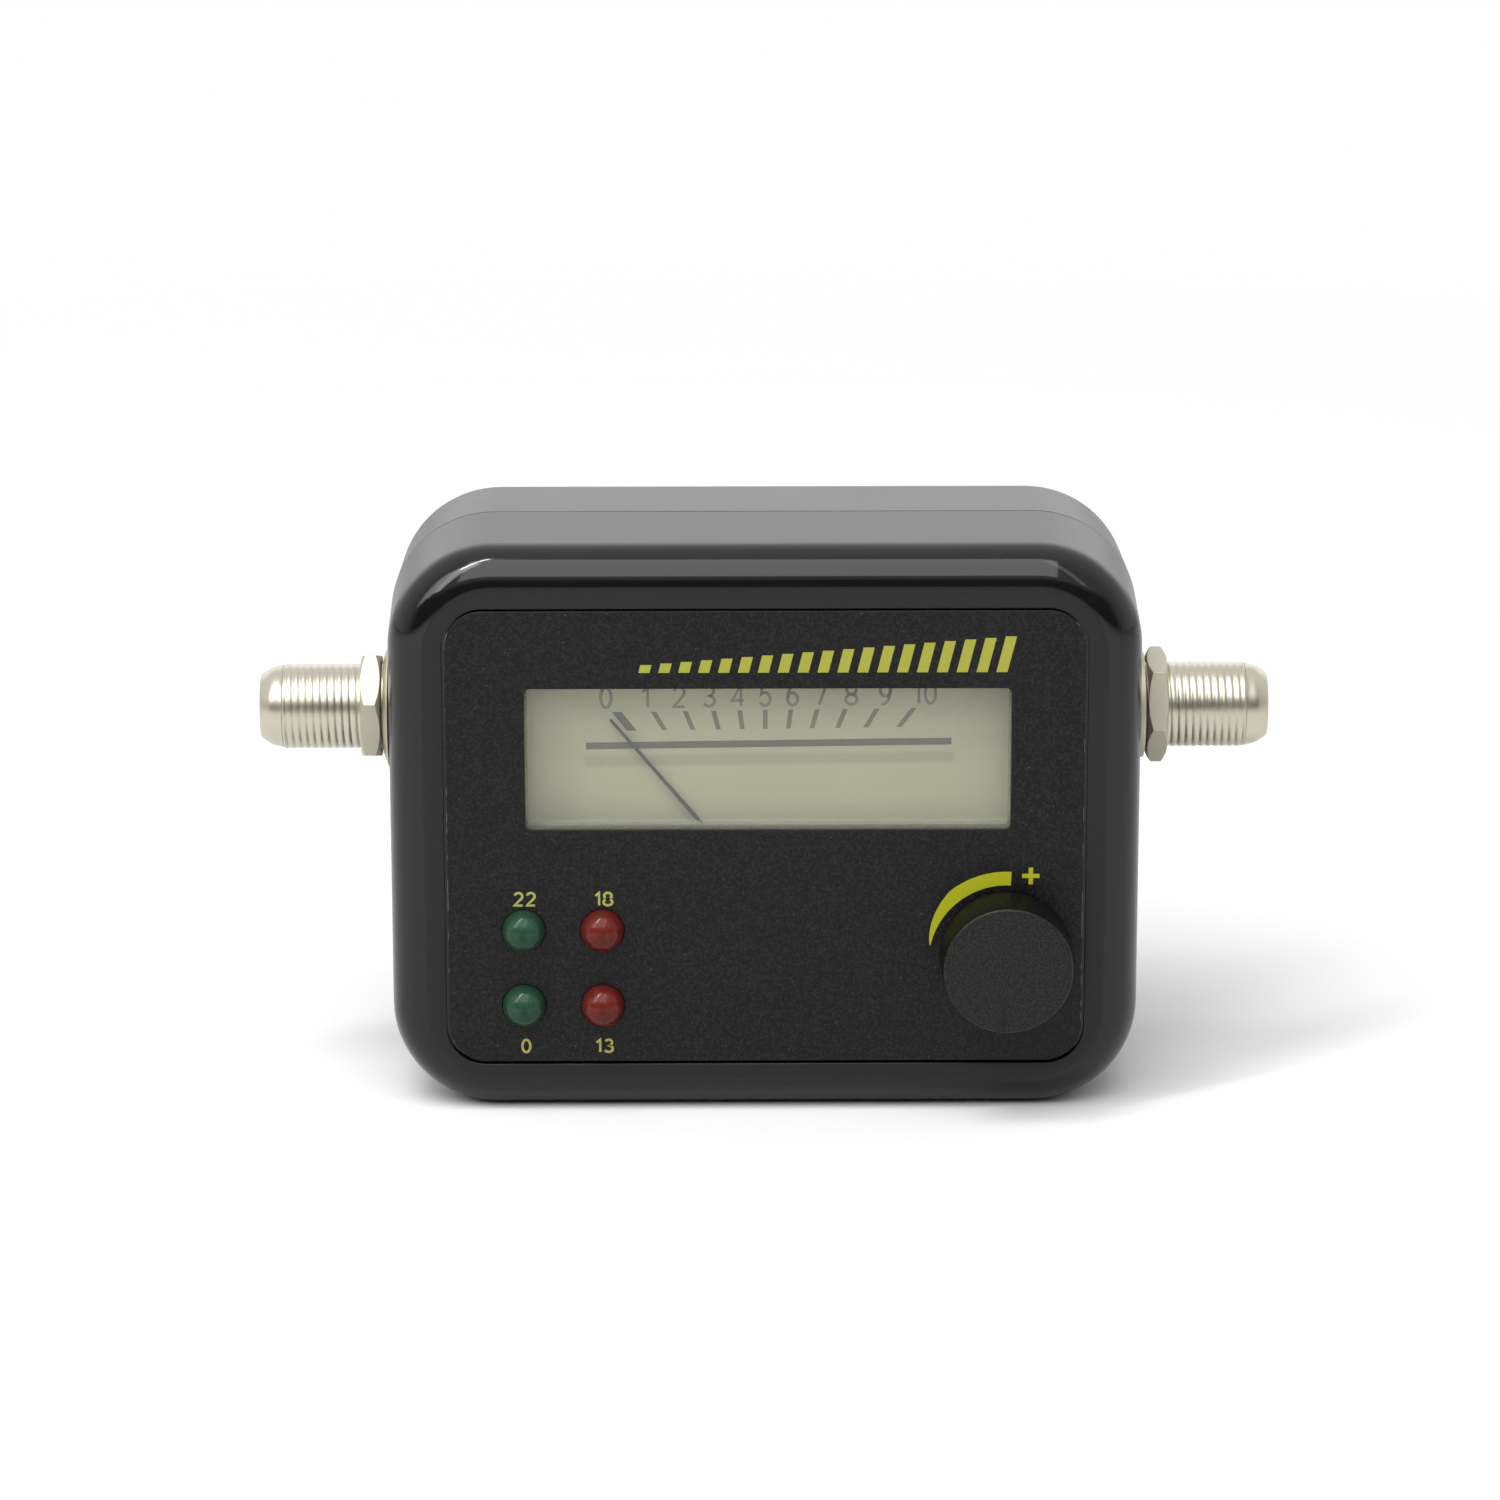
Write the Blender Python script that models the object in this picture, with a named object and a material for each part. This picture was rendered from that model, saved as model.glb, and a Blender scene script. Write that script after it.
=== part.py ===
"""Satellite signal meter.

A hand-held meter in a two-part moulded case: a moving-coil meter behind a window,
four signal lamps, a gain knob on a board-mounted potentiometer, and a threaded
coaxial socket out of each side. Units are metres, +Z is up, the front faces -Y,
and the origin is the middle of the flat base.
"""

from math import atan2, cos, hypot, pi, radians, sin, tan

import bmesh
import bpy
from mathutils import Vector

# Clearances and overruns
gap = 0.0003
running_clearance = 0.0001
screw_clearance = 0.0002
overrun = 0.0010
embed = 0.0004
merge_distance = 0.0000001

# Facets
corner_steps = 6
plate_corner_steps = 3
edge_steps = 4
knob_steps = 32
round_steps = 20
boss_steps = 14
collar_steps = 16
small_steps = 8
sharp_angle = radians(32)

# Case
case_width = 0.0824
case_height = 0.0637
case_depth = 0.0330
corner_radius = 0.0115
front_edge_radius = 0.0044
rear_edge_radius = 0.0025
wall = 0.0020
front_wall = 0.0018
rear_wall = 0.0020
lip_height = 0.0012
lip_thickness = 0.0008
draft_angle = radians(1.0)
rear_draft_angle = radians(1.5)

# Screw bosses
boss_radius = 0.0032
rear_boss_radius = 0.0040
boss_shift = 0.0034
boss_rib_thickness = 0.0012
boss_rib_reach = 0.0095
case_screw_radius = 0.00145
case_screw_head_radius = 0.0028
case_screw_head_height = 0.0018
case_screw_length = 0.0170
pan_head_share = 0.62
counterbore_depth = 0.0040

# Front label
label_side_margin = 0.00655
label_top_margin = 0.00675
label_bottom_margin = 0.00585
label_corner_radius = 0.0040
label_thickness = 0.0003
label_sink = 0.00005
window_x = 0.0003
window_side_margin = 0.00825
window_top_margin = 0.00865
window_sill = 0.0039
window_corner_radius = 0.0006

# Signal lamps
lamp_radius = 0.0024
lamp_reach = 0.0023
lamp_flange_radius = 0.0029
lamp_flange_thickness = 0.0010
lamp_flange_depth = 0.0053
lamp_clearance = 0.00025
lamp_collar_wall = 0.0010
lamp_left_share = 0.381
lamp_pitch_share = 0.497
lamp_pitch_z = 0.0086
lamp_rise = 0.00645
lead_width = 0.0005
lead_pitch = 0.00254

# Meter
meter_side_margin = 0.0018
meter_top_margin = 0.00535
meter_shelf_rise = 0.0075
meter_body_half_width = 0.0094
meter_body_overlap = 0.0046
meter_bottom_margin = 0.0142
meter_wall = 0.0010
meter_corner_radius = 0.0012
lens_thickness = 0.0011
lens_skirt = 0.0028
window_boss_sink = 0.0005
dial_depth = 0.0052
dial_thickness = 0.0004
dial_post_radius = 0.0012
dial_post_inset = 0.0034
shallow_box_depth = 0.0100
meter_rib_thickness = 0.0012
meter_rib_length = 0.0100
meter_rib_height = 0.0050
meter_pin_radius = 0.0006
meter_pin_spread = 0.0060
meter_pin_rise = 0.0035

# Meter movement
pivot_rise = 0.0090
needle_rest_angle = radians(40)
needle_end_gap = 0.0007
needle_tip_width = 0.0003
needle_root_width = 0.0005
needle_thickness = 0.0003
needle_tail_length = 0.0042
needle_depth = 0.0043
balance_reach = 0.0028
balance_weight_radius = 0.0007
hub_radius = 0.0015
hub_thickness = 0.0008
staff_radius = 0.0004
collet_radius = 0.0008
core_radius = 0.0041
core_depth = 0.0090
air_gap = 0.0004
coil_thickness = 0.0008
coil_width = 0.0024
coil_end_gap = 0.0003
ring_thickness = 0.0017
bridge_thickness = 0.0010
bridge_width = 0.0030
bridge_corner_radius = 0.0010
core_post_radius = 0.0006
core_post_offset = 0.0032
spring_turns = 3
spring_steps_per_turn = 12
spring_inner_radius = 0.00125
spring_outer_radius = 0.0037
spring_strip = 0.0002
spring_height = 0.0006
spring_post_radius = 0.0004
ring_seat_width = 0.0030

# Gain control
knob_share = 0.3795
knob_rise = 0.01235
knob_face_radius = 0.0070
knob_base_radius = 0.0072
knob_reach = 0.0065
knob_edge_radius = 0.0004
knob_wall = 0.0012
knob_cap = 0.0016
knob_index_width = 0.0011
knob_index_depth = 0.0004
knob_index_start = 0.0028
shaft_radius = 0.0030
shaft_hole_radius = 0.0036
shaft_end_gap = 0.0004
bushing_radius = 0.0036
bushing_length = 0.0062
bushing_flange_thickness = 0.0010
pot_half_width = 0.0049
pot_half_height = 0.00565
pot_thickness = 0.0068
pot_corner_radius = 0.0008
pot_face_thickness = 0.0012
pot_back_thickness = 0.0010
pot_cavity_radius = 0.0041
wiper_radius = 0.0036
wiper_thickness = 0.0007
wiper_finger_radius = 0.0005
track_thickness = 0.0006
track_inner_radius = 0.0016
terminal_pitch = 0.0025
terminal_width = 0.0008
terminal_thickness = 0.0005
terminal_length = 0.0058

# Circuit board
board_thickness = 0.0016
board_margin = 0.0012
board_notch_margin = 0.0006
standoff_height = 0.0056
standoff_radius = 0.0026
board_screw_radius = 0.0011
board_screw_head_radius = 0.0022
board_screw_head_height = 0.0014
board_screw_length = 0.0042
board_screw_inset = 0.0048
board_screw_drop = 0.0132
lead_stub = 0.0012
chip_width = 0.0094
chip_height = 0.0062
chip_thickness = 0.0018
chip_rise = 0.0042
chip_gap = 0.0005
chip_legs_per_side = 4
chip_leg_pitch = 0.0020
chip_leg_width = 0.0006
chip_leg_reach = 0.0009
capacitor_gap = 0.0024
capacitor_groove = 0.0003
capacitor_groove_width = 0.0008
capacitor_groove_height = 0.0018
small_capacitor_radius = 0.0025
large_capacitor_radius = 0.00315
capacitor_share = 0.4854
capacitor_spacing = 0.00285
large_capacitor_drop = 0.0263
choke_share = 0.4612
choke_drop = 0.0193
choke_radius = 0.0040
choke_core_radius = 0.0030
choke_gap = 0.0046
choke_flange = 0.0010
regulator_share = 0.4248
regulator_drop = 0.0303
regulator_radius = 0.0024
regulator_flat = 0.0012
regulator_height = 0.0045
regulator_leg_height = 0.0020

# Side connectors
connector_drop = 0.0221
connector_board_gap = 0.00045
thread_radius = 0.0047
thread_end = 0.0533
tip_radius = 0.0042
tip_end_radius = 0.0034
tip_length = 0.0025
tip_round = 0.0008
barrel_bore_radius = 0.0028
flange_across_flats = 0.0111
flange_thickness = 0.0024
barrel_tail_radius = 0.0044
barrel_tail_length = 0.0044
nut_across_flats = 0.0111
nut_thickness = 0.0022
nut_chamfer_angle = radians(30)
left_nut_turn = radians(14)
right_nut_turn = radians(42)
washer_thickness = 0.0006
flat_washer_radius = 0.0059
dished_washer_base_radius = 0.0068
dished_washer_top_radius = 0.0056
insulator_sink = 0.0007
contact_radius = 0.0008
contact_bore_radius = 0.00045
contact_bore_depth = 0.0090
contact_sink = 0.0009
contact_tail_radius = 0.0005
contact_tail_reach = 0.0012

# Places worked out from the sizes above
front_y = -case_depth / 2
recess_depth = label_sink + label_thickness + gap
inner_face_depth = recess_depth + front_wall
inner_half_width = case_width / 2 - wall
label_width = case_width - 2 * label_side_margin
label_height = case_height - label_top_margin - label_bottom_margin
label_top = label_height / 2
label_bottom = -label_height / 2
panel_centre_height = label_bottom_margin + label_height / 2
panel_bottom = -panel_centre_height
panel_top = case_height - panel_centre_height
board_back_depth = case_depth - rear_wall - standoff_height - gap
board_front_depth = board_back_depth - board_thickness
component_depth = board_front_depth - gap
seam_depth = board_front_depth - connector_board_gap - flange_across_flats / 2
connector_z = panel_top - connector_drop
board_screw_side_z = connector_z - board_screw_drop
lamp_upper_z = label_bottom + lamp_rise + lamp_pitch_z
lamp_left_x = -label_width * lamp_left_share
lamp_pitch_x = (window_x - meter_body_half_width - lamp_left_x) * lamp_pitch_share
knob_x = label_width * knob_share
knob_z = label_bottom + knob_rise
meter_top = label_top - meter_top_margin
meter_shelf = lamp_upper_z + meter_shelf_rise
meter_body_top = meter_shelf + meter_body_overlap
meter_bottom = panel_bottom + meter_bottom_margin
window_width = label_width - 2 * window_side_margin
window_top = label_top - window_top_margin
window_bottom = meter_shelf + window_sill
meter_half_width = window_width / 2 + meter_side_margin
pivot_z = meter_bottom + pivot_rise
needle_length = meter_top - meter_wall - needle_end_gap - pivot_z
chip_z = pivot_z + chip_rise
capacitor_x = -case_width / 2 * capacitor_share
large_capacitor_z = panel_top - large_capacitor_drop
small_capacitor_z = (
    large_capacitor_z + large_capacitor_radius + capacitor_spacing + small_capacitor_radius
)
capacitor_height = component_depth - shallow_box_depth - capacitor_gap
choke_x = case_width / 2 * choke_share
choke_z = panel_top - choke_drop
choke_height = component_depth - shallow_box_depth - choke_gap
regulator_x = case_width / 2 * regulator_share
regulator_z = panel_top - regulator_drop
lead_end_depth = board_back_depth + lead_stub
lamp_hole_radius = lamp_radius + lamp_clearance
lens_depth = inner_face_depth + gap
lens_back_depth = lens_depth + lens_thickness
skirt_end_depth = lens_back_depth + lens_skirt
meter_rim_depth = skirt_end_depth + gap
chip_front_depth = component_depth - chip_leg_reach - chip_thickness
deep_box_depth = chip_front_depth - chip_gap
rear_bridge_back = deep_box_depth - meter_wall - gap
rear_bridge_front = rear_bridge_back - bridge_thickness
coil_rear_depth = rear_bridge_front - gap - spring_height - gap
core_end_depth = coil_rear_depth - coil_thickness - coil_end_gap
coil_inner_radius = core_radius + air_gap
coil_outer_radius = coil_inner_radius + coil_thickness
coil_front_depth = core_depth - coil_end_gap - coil_thickness
ring_inner_radius = coil_outer_radius + air_gap
ring_outer_radius = ring_inner_radius + ring_thickness
front_bridge_back = coil_front_depth - gap
front_bridge_front = front_bridge_back - bridge_thickness
nut_inner_x = case_width / 2 + gap + washer_thickness + gap
connector_end = thread_end + tip_length

# Colours: red, green and blue, roughness, metallic
finishes = {
    "case_plastic": ((0.030, 0.030, 0.029), 0.50, 0.0),
    "label_film": ((0.022, 0.022, 0.021), 0.45, 0.0),
    "clear_plastic": ((0.80, 0.84, 0.78), 0.08, 0.0),
    "meter_plastic": ((0.78, 0.78, 0.74), 0.45, 0.0),
    "dial_card": ((0.47, 0.50, 0.40), 0.60, 0.0),
    "needle_metal": ((0.06, 0.06, 0.06), 0.45, 0.0),
    "green_lamp": ((0.02, 0.16, 0.07), 0.15, 0.0),
    "red_lamp": ((0.28, 0.02, 0.02), 0.15, 0.0),
    "knob_plastic": ((0.035, 0.035, 0.034), 0.45, 0.0),
    "nickel": ((0.66, 0.64, 0.57), 0.28, 1.0),
    "insulator": ((0.86, 0.85, 0.80), 0.50, 0.0),
    "brass": ((0.70, 0.52, 0.22), 0.30, 1.0),
    "steel": ((0.55, 0.55, 0.56), 0.35, 1.0),
    "magnet": ((0.20, 0.20, 0.21), 0.55, 1.0),
    "copper_wire": ((0.60, 0.26, 0.10), 0.35, 1.0),
    "board_laminate": ((0.10, 0.22, 0.07), 0.50, 0.0),
    "black_resin": ((0.02, 0.02, 0.02), 0.50, 0.0),
    "blue_resin": ((0.02, 0.06, 0.25), 0.40, 0.0),
}


def clear_scene():
    """Remove every object that the scene starts with."""
    for item in list(bpy.data.objects):
        bpy.data.objects.remove(item, do_unlink=True)


def material(name):
    """Return the named finish as a Principled material, made once."""
    found = bpy.data.materials.get(name)
    if found:
        return found
    colour, roughness, metallic = finishes[name]
    found = bpy.data.materials.new(name)
    found.use_nodes = True
    shader = found.node_tree.nodes["Principled BSDF"]
    shader.inputs["Base Color"].default_value = (*colour, 1.0)
    shader.inputs["Roughness"].default_value = roughness
    shader.inputs["Metallic"].default_value = metallic
    found.diffuse_color = (*colour, 1.0)
    return found


# Shapes. A point is (x, depth, z): x to the right, depth back from the front face.

def object_from(mesh_data, name):
    """Close the mesh, face it outwards and link it to the scene."""
    bmesh.ops.recalc_face_normals(mesh_data, faces=mesh_data.faces)
    mesh = bpy.data.meshes.new(name)
    mesh_data.to_mesh(mesh)
    mesh_data.free()
    item = bpy.data.objects.new(name, mesh)
    bpy.context.scene.collection.objects.link(item)
    return item


def loft(rings):
    """Skin a row of rings, each with as many points, and cap both ends."""
    shape = bmesh.new()
    loops = [[shape.verts.new(point) for point in ring] for ring in rings]
    for first, second in zip(loops, loops[1:]):
        for step, corner in enumerate(first):
            following = (step + 1) % len(first)
            shape.faces.new((corner, first[following], second[following], second[step]))
    shape.faces.new(loops[0])
    shape.faces.new(loops[-1])
    return object_from(shape, "loft")


def rounded_outline(left, right, bottom, top, radius, steps=plate_corner_steps):
    """Points of a rectangle with round corners, anticlockwise from its top right."""
    centres = (
        (right - radius, top - radius),
        (left + radius, top - radius),
        (left + radius, bottom + radius),
        (right - radius, bottom + radius),
    )
    points = []
    for quarter, (x, z) in enumerate(centres):
        for step in range(steps + 1):
            angle = (quarter + step / steps) * pi / 2
            points.append((x + radius * cos(angle), z + radius * sin(angle)))
    return points


def prism(outline, near, far):
    """Extrude an outline of (x, z) points between two depths."""
    return loft([[(x, depth, z) for x, z in outline] for depth in (near, far)])


def upright_prism(outline, bottom, top):
    """Extrude an outline of (x, depth) points between two heights."""
    return loft([[(x, depth, z) for x, depth in outline] for z in (bottom, top)])


def block(left, right, near, far, bottom, top):
    """A box."""
    return prism([(right, top), (left, top), (left, bottom), (right, bottom)], near, far)


def plate(left, right, near, far, bottom, top, radius):
    """A box with its four upright corners, as seen from the front, made round."""
    return prism(rounded_outline(left, right, bottom, top, radius), near, far)


def turned(profile, axis, steps=round_steps, closed=False):
    """Spin a profile of (place along the axis, radius) points about X or Y."""
    along_x = axis == "X"
    shape = bmesh.new()
    corners = [
        shape.verts.new((place, 0, radius) if along_x else (radius, place, 0))
        for place, radius in profile
    ]
    pairs = list(zip(corners, corners[1:]))
    if closed:
        pairs.append((corners[-1], corners[0]))
    edges = [shape.edges.new(pair) for pair in pairs]
    bmesh.ops.spin(
        shape,
        geom=corners + edges,
        cent=(0, 0, 0),
        axis=(1, 0, 0) if along_x else (0, 1, 0),
        angle=2 * pi,
        steps=steps,
        use_merge=True,
        use_duplicate=False,
    )
    bmesh.ops.remove_doubles(shape, verts=shape.verts, dist=merge_distance)
    return object_from(shape, "turned")


def rod(x, z, radius, near, far, steps=round_steps):
    """A round bar along the depth."""
    item = turned([(near, 0), (near, radius), (far, radius), (far, 0)], "Y", steps)
    return moved(item, x, 0, z)


def cone_rod(x, z, near_radius, far_radius, near, far, steps=round_steps):
    """A round bar along the depth with a draft."""
    item = turned([(near, 0), (near, near_radius), (far, far_radius), (far, 0)], "Y", steps)
    return moved(item, x, 0, z)


def moved(item, x, depth, z):
    """Shift an object's points."""
    for vertex in item.data.vertices:
        vertex.co += Vector((x, depth, z))
    return item


def rolled(item, angle):
    """Turn an object's points about X."""
    for vertex in item.data.vertices:
        x, depth, z = vertex.co
        vertex.co = (x, depth * cos(angle) - z * sin(angle), depth * sin(angle) + z * cos(angle))
    return item


def mirrored(item, side):
    """Reflect an object made for the right-hand side when it goes on the left."""
    if side > 0:
        return item
    for vertex in item.data.vertices:
        vertex.co.x = -vertex.co.x
    item.data.flip_normals()
    return item


def triangulated(item):
    """Split an object's faces into triangles, which are exactly flat."""
    shape = bmesh.new()
    shape.from_mesh(item.data)
    bmesh.ops.triangulate(shape, faces=shape.faces)
    shape.to_mesh(item.data)
    shape.free()
    return item


def combined(target, tool, operation):
    """Join, cut or trim the target with the tool, and use the tool up."""
    triangulated(target)
    triangulated(tool)
    modifier = target.modifiers.new("combine", "BOOLEAN")
    modifier.operation = operation
    modifier.solver = "EXACT"
    modifier.object = tool
    bpy.context.view_layer.update()
    evaluated = target.evaluated_get(bpy.context.evaluated_depsgraph_get())
    result = bpy.data.meshes.new_from_object(evaluated)
    target.modifiers.clear()
    spent = target.data
    target.data = result
    bpy.data.meshes.remove(spent)
    bpy.data.objects.remove(tool, do_unlink=True)
    return target


def join(target, *tools):
    for tool in tools:
        combined(target, tool, "UNION")
    return target


def cut(target, *tools):
    for tool in tools:
        combined(target, tool, "DIFFERENCE")
    return target


def pivot_parent(name, x, z, angle=0.0):
    """An empty on a joint's axis, which carries the pieces that turn about it."""
    empty = bpy.data.objects.new(name, None)
    empty.location = (x, front_y, panel_centre_height + z)
    empty.rotation_euler = (0, angle, 0)
    bpy.context.scene.collection.objects.link(empty)
    return empty


def finish(item, name, finish_name, parent=None, place=(0, 0)):
    """Name a piece, give it its material and shading, and put it in its place."""
    item.name = name
    item.data.name = name
    item.data.materials.clear()
    item.data.materials.append(material(finish_name))
    item.data.shade_smooth()
    item.data.set_sharp_from_angle(angle=sharp_angle)
    if parent:
        item.parent = parent
    else:
        item.location = (place[0], front_y, panel_centre_height + place[1])
    return item


# Case

def case_ring(depth, inset):
    """The case's outer outline at a depth, moved inwards by an inset.

    Three sides lean in by the draft on both sides of the seam. The base has none,
    so that the case stands flat on it.
    """
    lean = draft_angle if depth < seam_depth else rear_draft_angle
    taper = abs(depth - seam_depth) * tan(lean)
    side = case_width / 2 - taper - inset
    outline = rounded_outline(
        -side, side, panel_bottom + inset, panel_top - taper - inset, corner_radius - inset,
        corner_steps,
    )
    return [(x, depth, z) for x, z in outline]


def label_ring(depth, margin):
    """The label's outline at a depth, moved outwards by a margin."""
    outline = rounded_outline(
        -label_width / 2 - margin,
        label_width / 2 + margin,
        label_bottom - margin,
        label_top + margin,
        label_corner_radius + margin,
        corner_steps,
    )
    return [(x, depth, z) for x, z in outline]


def edge_rings(face_depth, towards, radius, inset, outwards):
    """Rings round a filleted edge between a flat face and the case's sides."""
    turns = [step / edge_steps * pi / 2 for step in range(edge_steps + 1)]
    if not outwards:
        turns.reverse()
    return [
        case_ring(face_depth + towards * radius * (1 - sin(turn)), inset + radius * (1 - cos(turn)))
        for turn in turns
    ]


def boss_places():
    """Centres of the four case screws, near the corner arcs' centres."""
    x = case_width / 2 - corner_radius + boss_shift
    top = panel_top - corner_radius + boss_shift
    bottom = panel_bottom + corner_radius - boss_shift
    return [(x, top), (-x, top), (-x, bottom), (x, bottom)]


def boss_ribs(x, z, near, far):
    """Two ribs that tie a boss to the side wall and to the top or bottom wall."""
    half = boss_rib_thickness / 2
    side = 1 if x > 0 else -1
    wall_x = side * (inner_half_width + embed)
    wall_z = panel_top - wall + embed if z > 0 else panel_bottom + wall - embed
    return [
        block(min(x, wall_x), max(x, wall_x), near, far, z - half, z + half),
        block(x - half, x + half, near, far, min(z, wall_z), max(z, wall_z)),
    ]


def lamp_places():
    """Names, finishes and centres of the four signal lamps."""
    return [
        (f"signal_lamp_{row}_{colour}", f"{colour}_lamp", lamp_left_x + column * lamp_pitch_x,
         lamp_upper_z - line * lamp_pitch_z)
        for line, row in enumerate(("upper", "lower"))
        for column, colour in enumerate(("green", "red"))
    ]


def window_plate(near, far, inset=0.0):
    """A bar that fills the window, less an inset."""
    return plate(
        window_x - window_width / 2 + inset,
        window_x + window_width / 2 - inset,
        near,
        far,
        window_bottom + inset,
        window_top - inset,
        window_corner_radius,
    )


def connector_notch():
    """A bar through both side walls at the connectors' height."""
    reach = case_width / 2 + overrun
    radius = thread_radius + gap
    bar = turned([(-reach, 0), (-reach, radius), (reach, radius), (reach, 0)], "X")
    return moved(bar, 0, seam_depth, connector_z)


def meter_ribs():
    """Four bars on the front wall that locate the meter's wide box."""
    near = inner_face_depth - embed
    far = inner_face_depth + meter_rib_height
    half = meter_rib_length / 2
    middle_z = (meter_top + meter_shelf) / 2
    ribs = []
    for side in (-1, 1):
        inner = window_x + side * (meter_half_width + gap)
        outer = inner + side * meter_rib_thickness
        left, right = min(inner, outer), max(inner, outer)
        ribs.append(block(left, right, near, far, middle_z - half, middle_z + half))
        middle_x = window_x + side * meter_half_width / 2
        bottom = meter_top + gap
        ribs.append(
            block(middle_x - half, middle_x + half, near, far, bottom, bottom + meter_rib_thickness)
        )
    return ribs


def make_front_shell():
    """Front half of the case: a tray with a lip, bosses, ribs and lamp collars."""
    inner_edge = front_edge_radius - wall
    rings = edge_rings(inner_face_depth, 1, inner_edge, wall, outwards=False)
    rings += [
        case_ring(seam_depth, wall),
        case_ring(seam_depth + lip_height, wall),
        case_ring(seam_depth + lip_height, wall - lip_thickness),
        case_ring(seam_depth, wall - lip_thickness),
        case_ring(seam_depth, 0.0),
    ]
    rings += edge_rings(0.0, 1, front_edge_radius, 0.0, outwards=True)
    rings += [label_ring(0.0, gap), label_ring(recess_depth, gap)]
    shell = loft(rings)
    near = inner_face_depth - embed
    boss_end = seam_depth - gap
    base_radius = boss_radius + (boss_end - near) * tan(draft_angle)
    for x, z in boss_places():
        join(shell, cone_rod(x, z, base_radius, boss_radius, near, boss_end, boss_steps))
        join(shell, *boss_ribs(x, z, near, inner_face_depth + boss_rib_reach))
    join(shell, *meter_ribs())
    for _, _, x, z in lamp_places():
        collar = lamp_hole_radius + lamp_collar_wall
        join(shell, rod(x, z, collar, near, lamp_flange_depth - gap, collar_steps))
    for x, z in boss_places():
        hole_start = case_depth - counterbore_depth - case_screw_length - overrun
        hole_radius = case_screw_radius + screw_clearance
        cut(shell, rod(x, z, hole_radius, hole_start, seam_depth + overrun, small_steps))
    for _, _, x, z in lamp_places():
        cut(shell, rod(x, z, lamp_hole_radius, -overrun, lamp_flange_depth + overrun, collar_steps))
    cut(
        shell,
        window_plate(-overrun, inner_face_depth + overrun),
        rod(knob_x, knob_z, shaft_hole_radius, -overrun, inner_face_depth + overrun),
        connector_notch(),
    )
    return finish(shell, "front_shell", "case_plastic")


def board_screw_places():
    """Centres of the four screws that hold the circuit board."""
    side = inner_half_width - board_screw_inset
    top = panel_top - wall - board_screw_inset
    bottom = panel_bottom + wall + board_screw_inset
    return [(side, board_screw_side_z), (-side, board_screw_side_z), (0.0, top), (0.0, bottom)]


def make_rear_shell():
    """Rear half of the case: a tray with a rebated rim, screw tubes and standoffs."""
    inner_edge = rear_edge_radius - wall
    floor = case_depth - rear_wall
    rim = seam_depth + gap
    rebate = seam_depth + lip_height + gap
    rebate_inset = wall - lip_thickness - gap
    rings = edge_rings(floor, -1, inner_edge, wall, outwards=False)
    rings += [
        case_ring(rebate, wall),
        case_ring(rebate, rebate_inset),
        case_ring(rim, rebate_inset),
        case_ring(rim, 0.0),
    ]
    rings += edge_rings(case_depth, -1, rear_edge_radius, 0.0, outwards=True)
    shell = loft(rings)
    far = floor + embed
    for x, z in boss_places():
        base_radius = rear_boss_radius + (far - seam_depth) * tan(draft_angle)
        join(shell, cone_rod(x, z, rear_boss_radius, base_radius, seam_depth, far, boss_steps))
        join(shell, *boss_ribs(x, z, seam_depth + boss_rib_reach / 2, far))
    standoff_end = floor - standoff_height
    for x, z in board_screw_places():
        join(shell, rod(x, z, standoff_radius, standoff_end, far, small_steps))
    for x, z in boss_places():
        head_floor = case_depth - counterbore_depth
        hole_radius = case_screw_radius + screw_clearance
        cut(
            shell,
            rod(x, z, hole_radius, seam_depth - overrun, head_floor + overrun, small_steps),
            rod(x, z, case_screw_head_radius + gap, head_floor, case_depth + overrun),
        )
    for x, z in board_screw_places():
        hole_radius = board_screw_radius + screw_clearance
        cut(shell, rod(x, z, hole_radius, standoff_end - overrun, floor, small_steps))
    cut(shell, connector_notch())
    return finish(shell, "rear_shell", "case_plastic")


def make_front_label():
    """Printed film in the front shell's recess, with its holes."""
    near = label_sink
    far = near + label_thickness
    label = loft([label_ring(near, 0.0), label_ring(far, 0.0)])
    cut(
        label,
        window_plate(-overrun, far + overrun),
        rod(knob_x, knob_z, shaft_hole_radius, -overrun, far + overrun),
    )
    for _, _, x, z in lamp_places():
        cut(label, rod(x, z, lamp_hole_radius, -overrun, far + overrun, collar_steps))
    return finish(label, "front_label", "label_film")


def make_case_screws():
    """Four self-tapping screws that pull the rear shell onto the front one."""
    seat = case_depth - counterbore_depth + gap
    for number, (x, z) in enumerate(boss_places(), 1):
        profile = [
            (seat - case_screw_length, 0),
            (seat - case_screw_length, case_screw_radius / 2),
            (seat - case_screw_length + case_screw_radius, case_screw_radius),
            (seat, case_screw_radius),
            (seat, case_screw_head_radius),
            (seat + case_screw_head_height / 2, case_screw_head_radius),
            (seat + case_screw_head_height, case_screw_head_radius * pan_head_share),
            (seat + case_screw_head_height, 0),
        ]
        screw = turned(profile, "Y", small_steps)
        finish(screw, f"case_screw_{number}", "steel", place=(x, z))


# Meter

def meter_outline_plates(near, far, body_far, inset):
    """The meter's wide upper box and the narrow box below it, less an inset."""
    radius = meter_corner_radius - inset / 2
    wide = plate(
        -meter_half_width + inset, meter_half_width - inset, near, far,
        meter_shelf + inset, meter_top - inset, radius,
    )
    narrow = plate(
        -meter_body_half_width + inset, meter_body_half_width - inset, near, body_far,
        meter_bottom + inset, meter_body_top - inset, radius,
    )
    return wide, narrow


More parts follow.
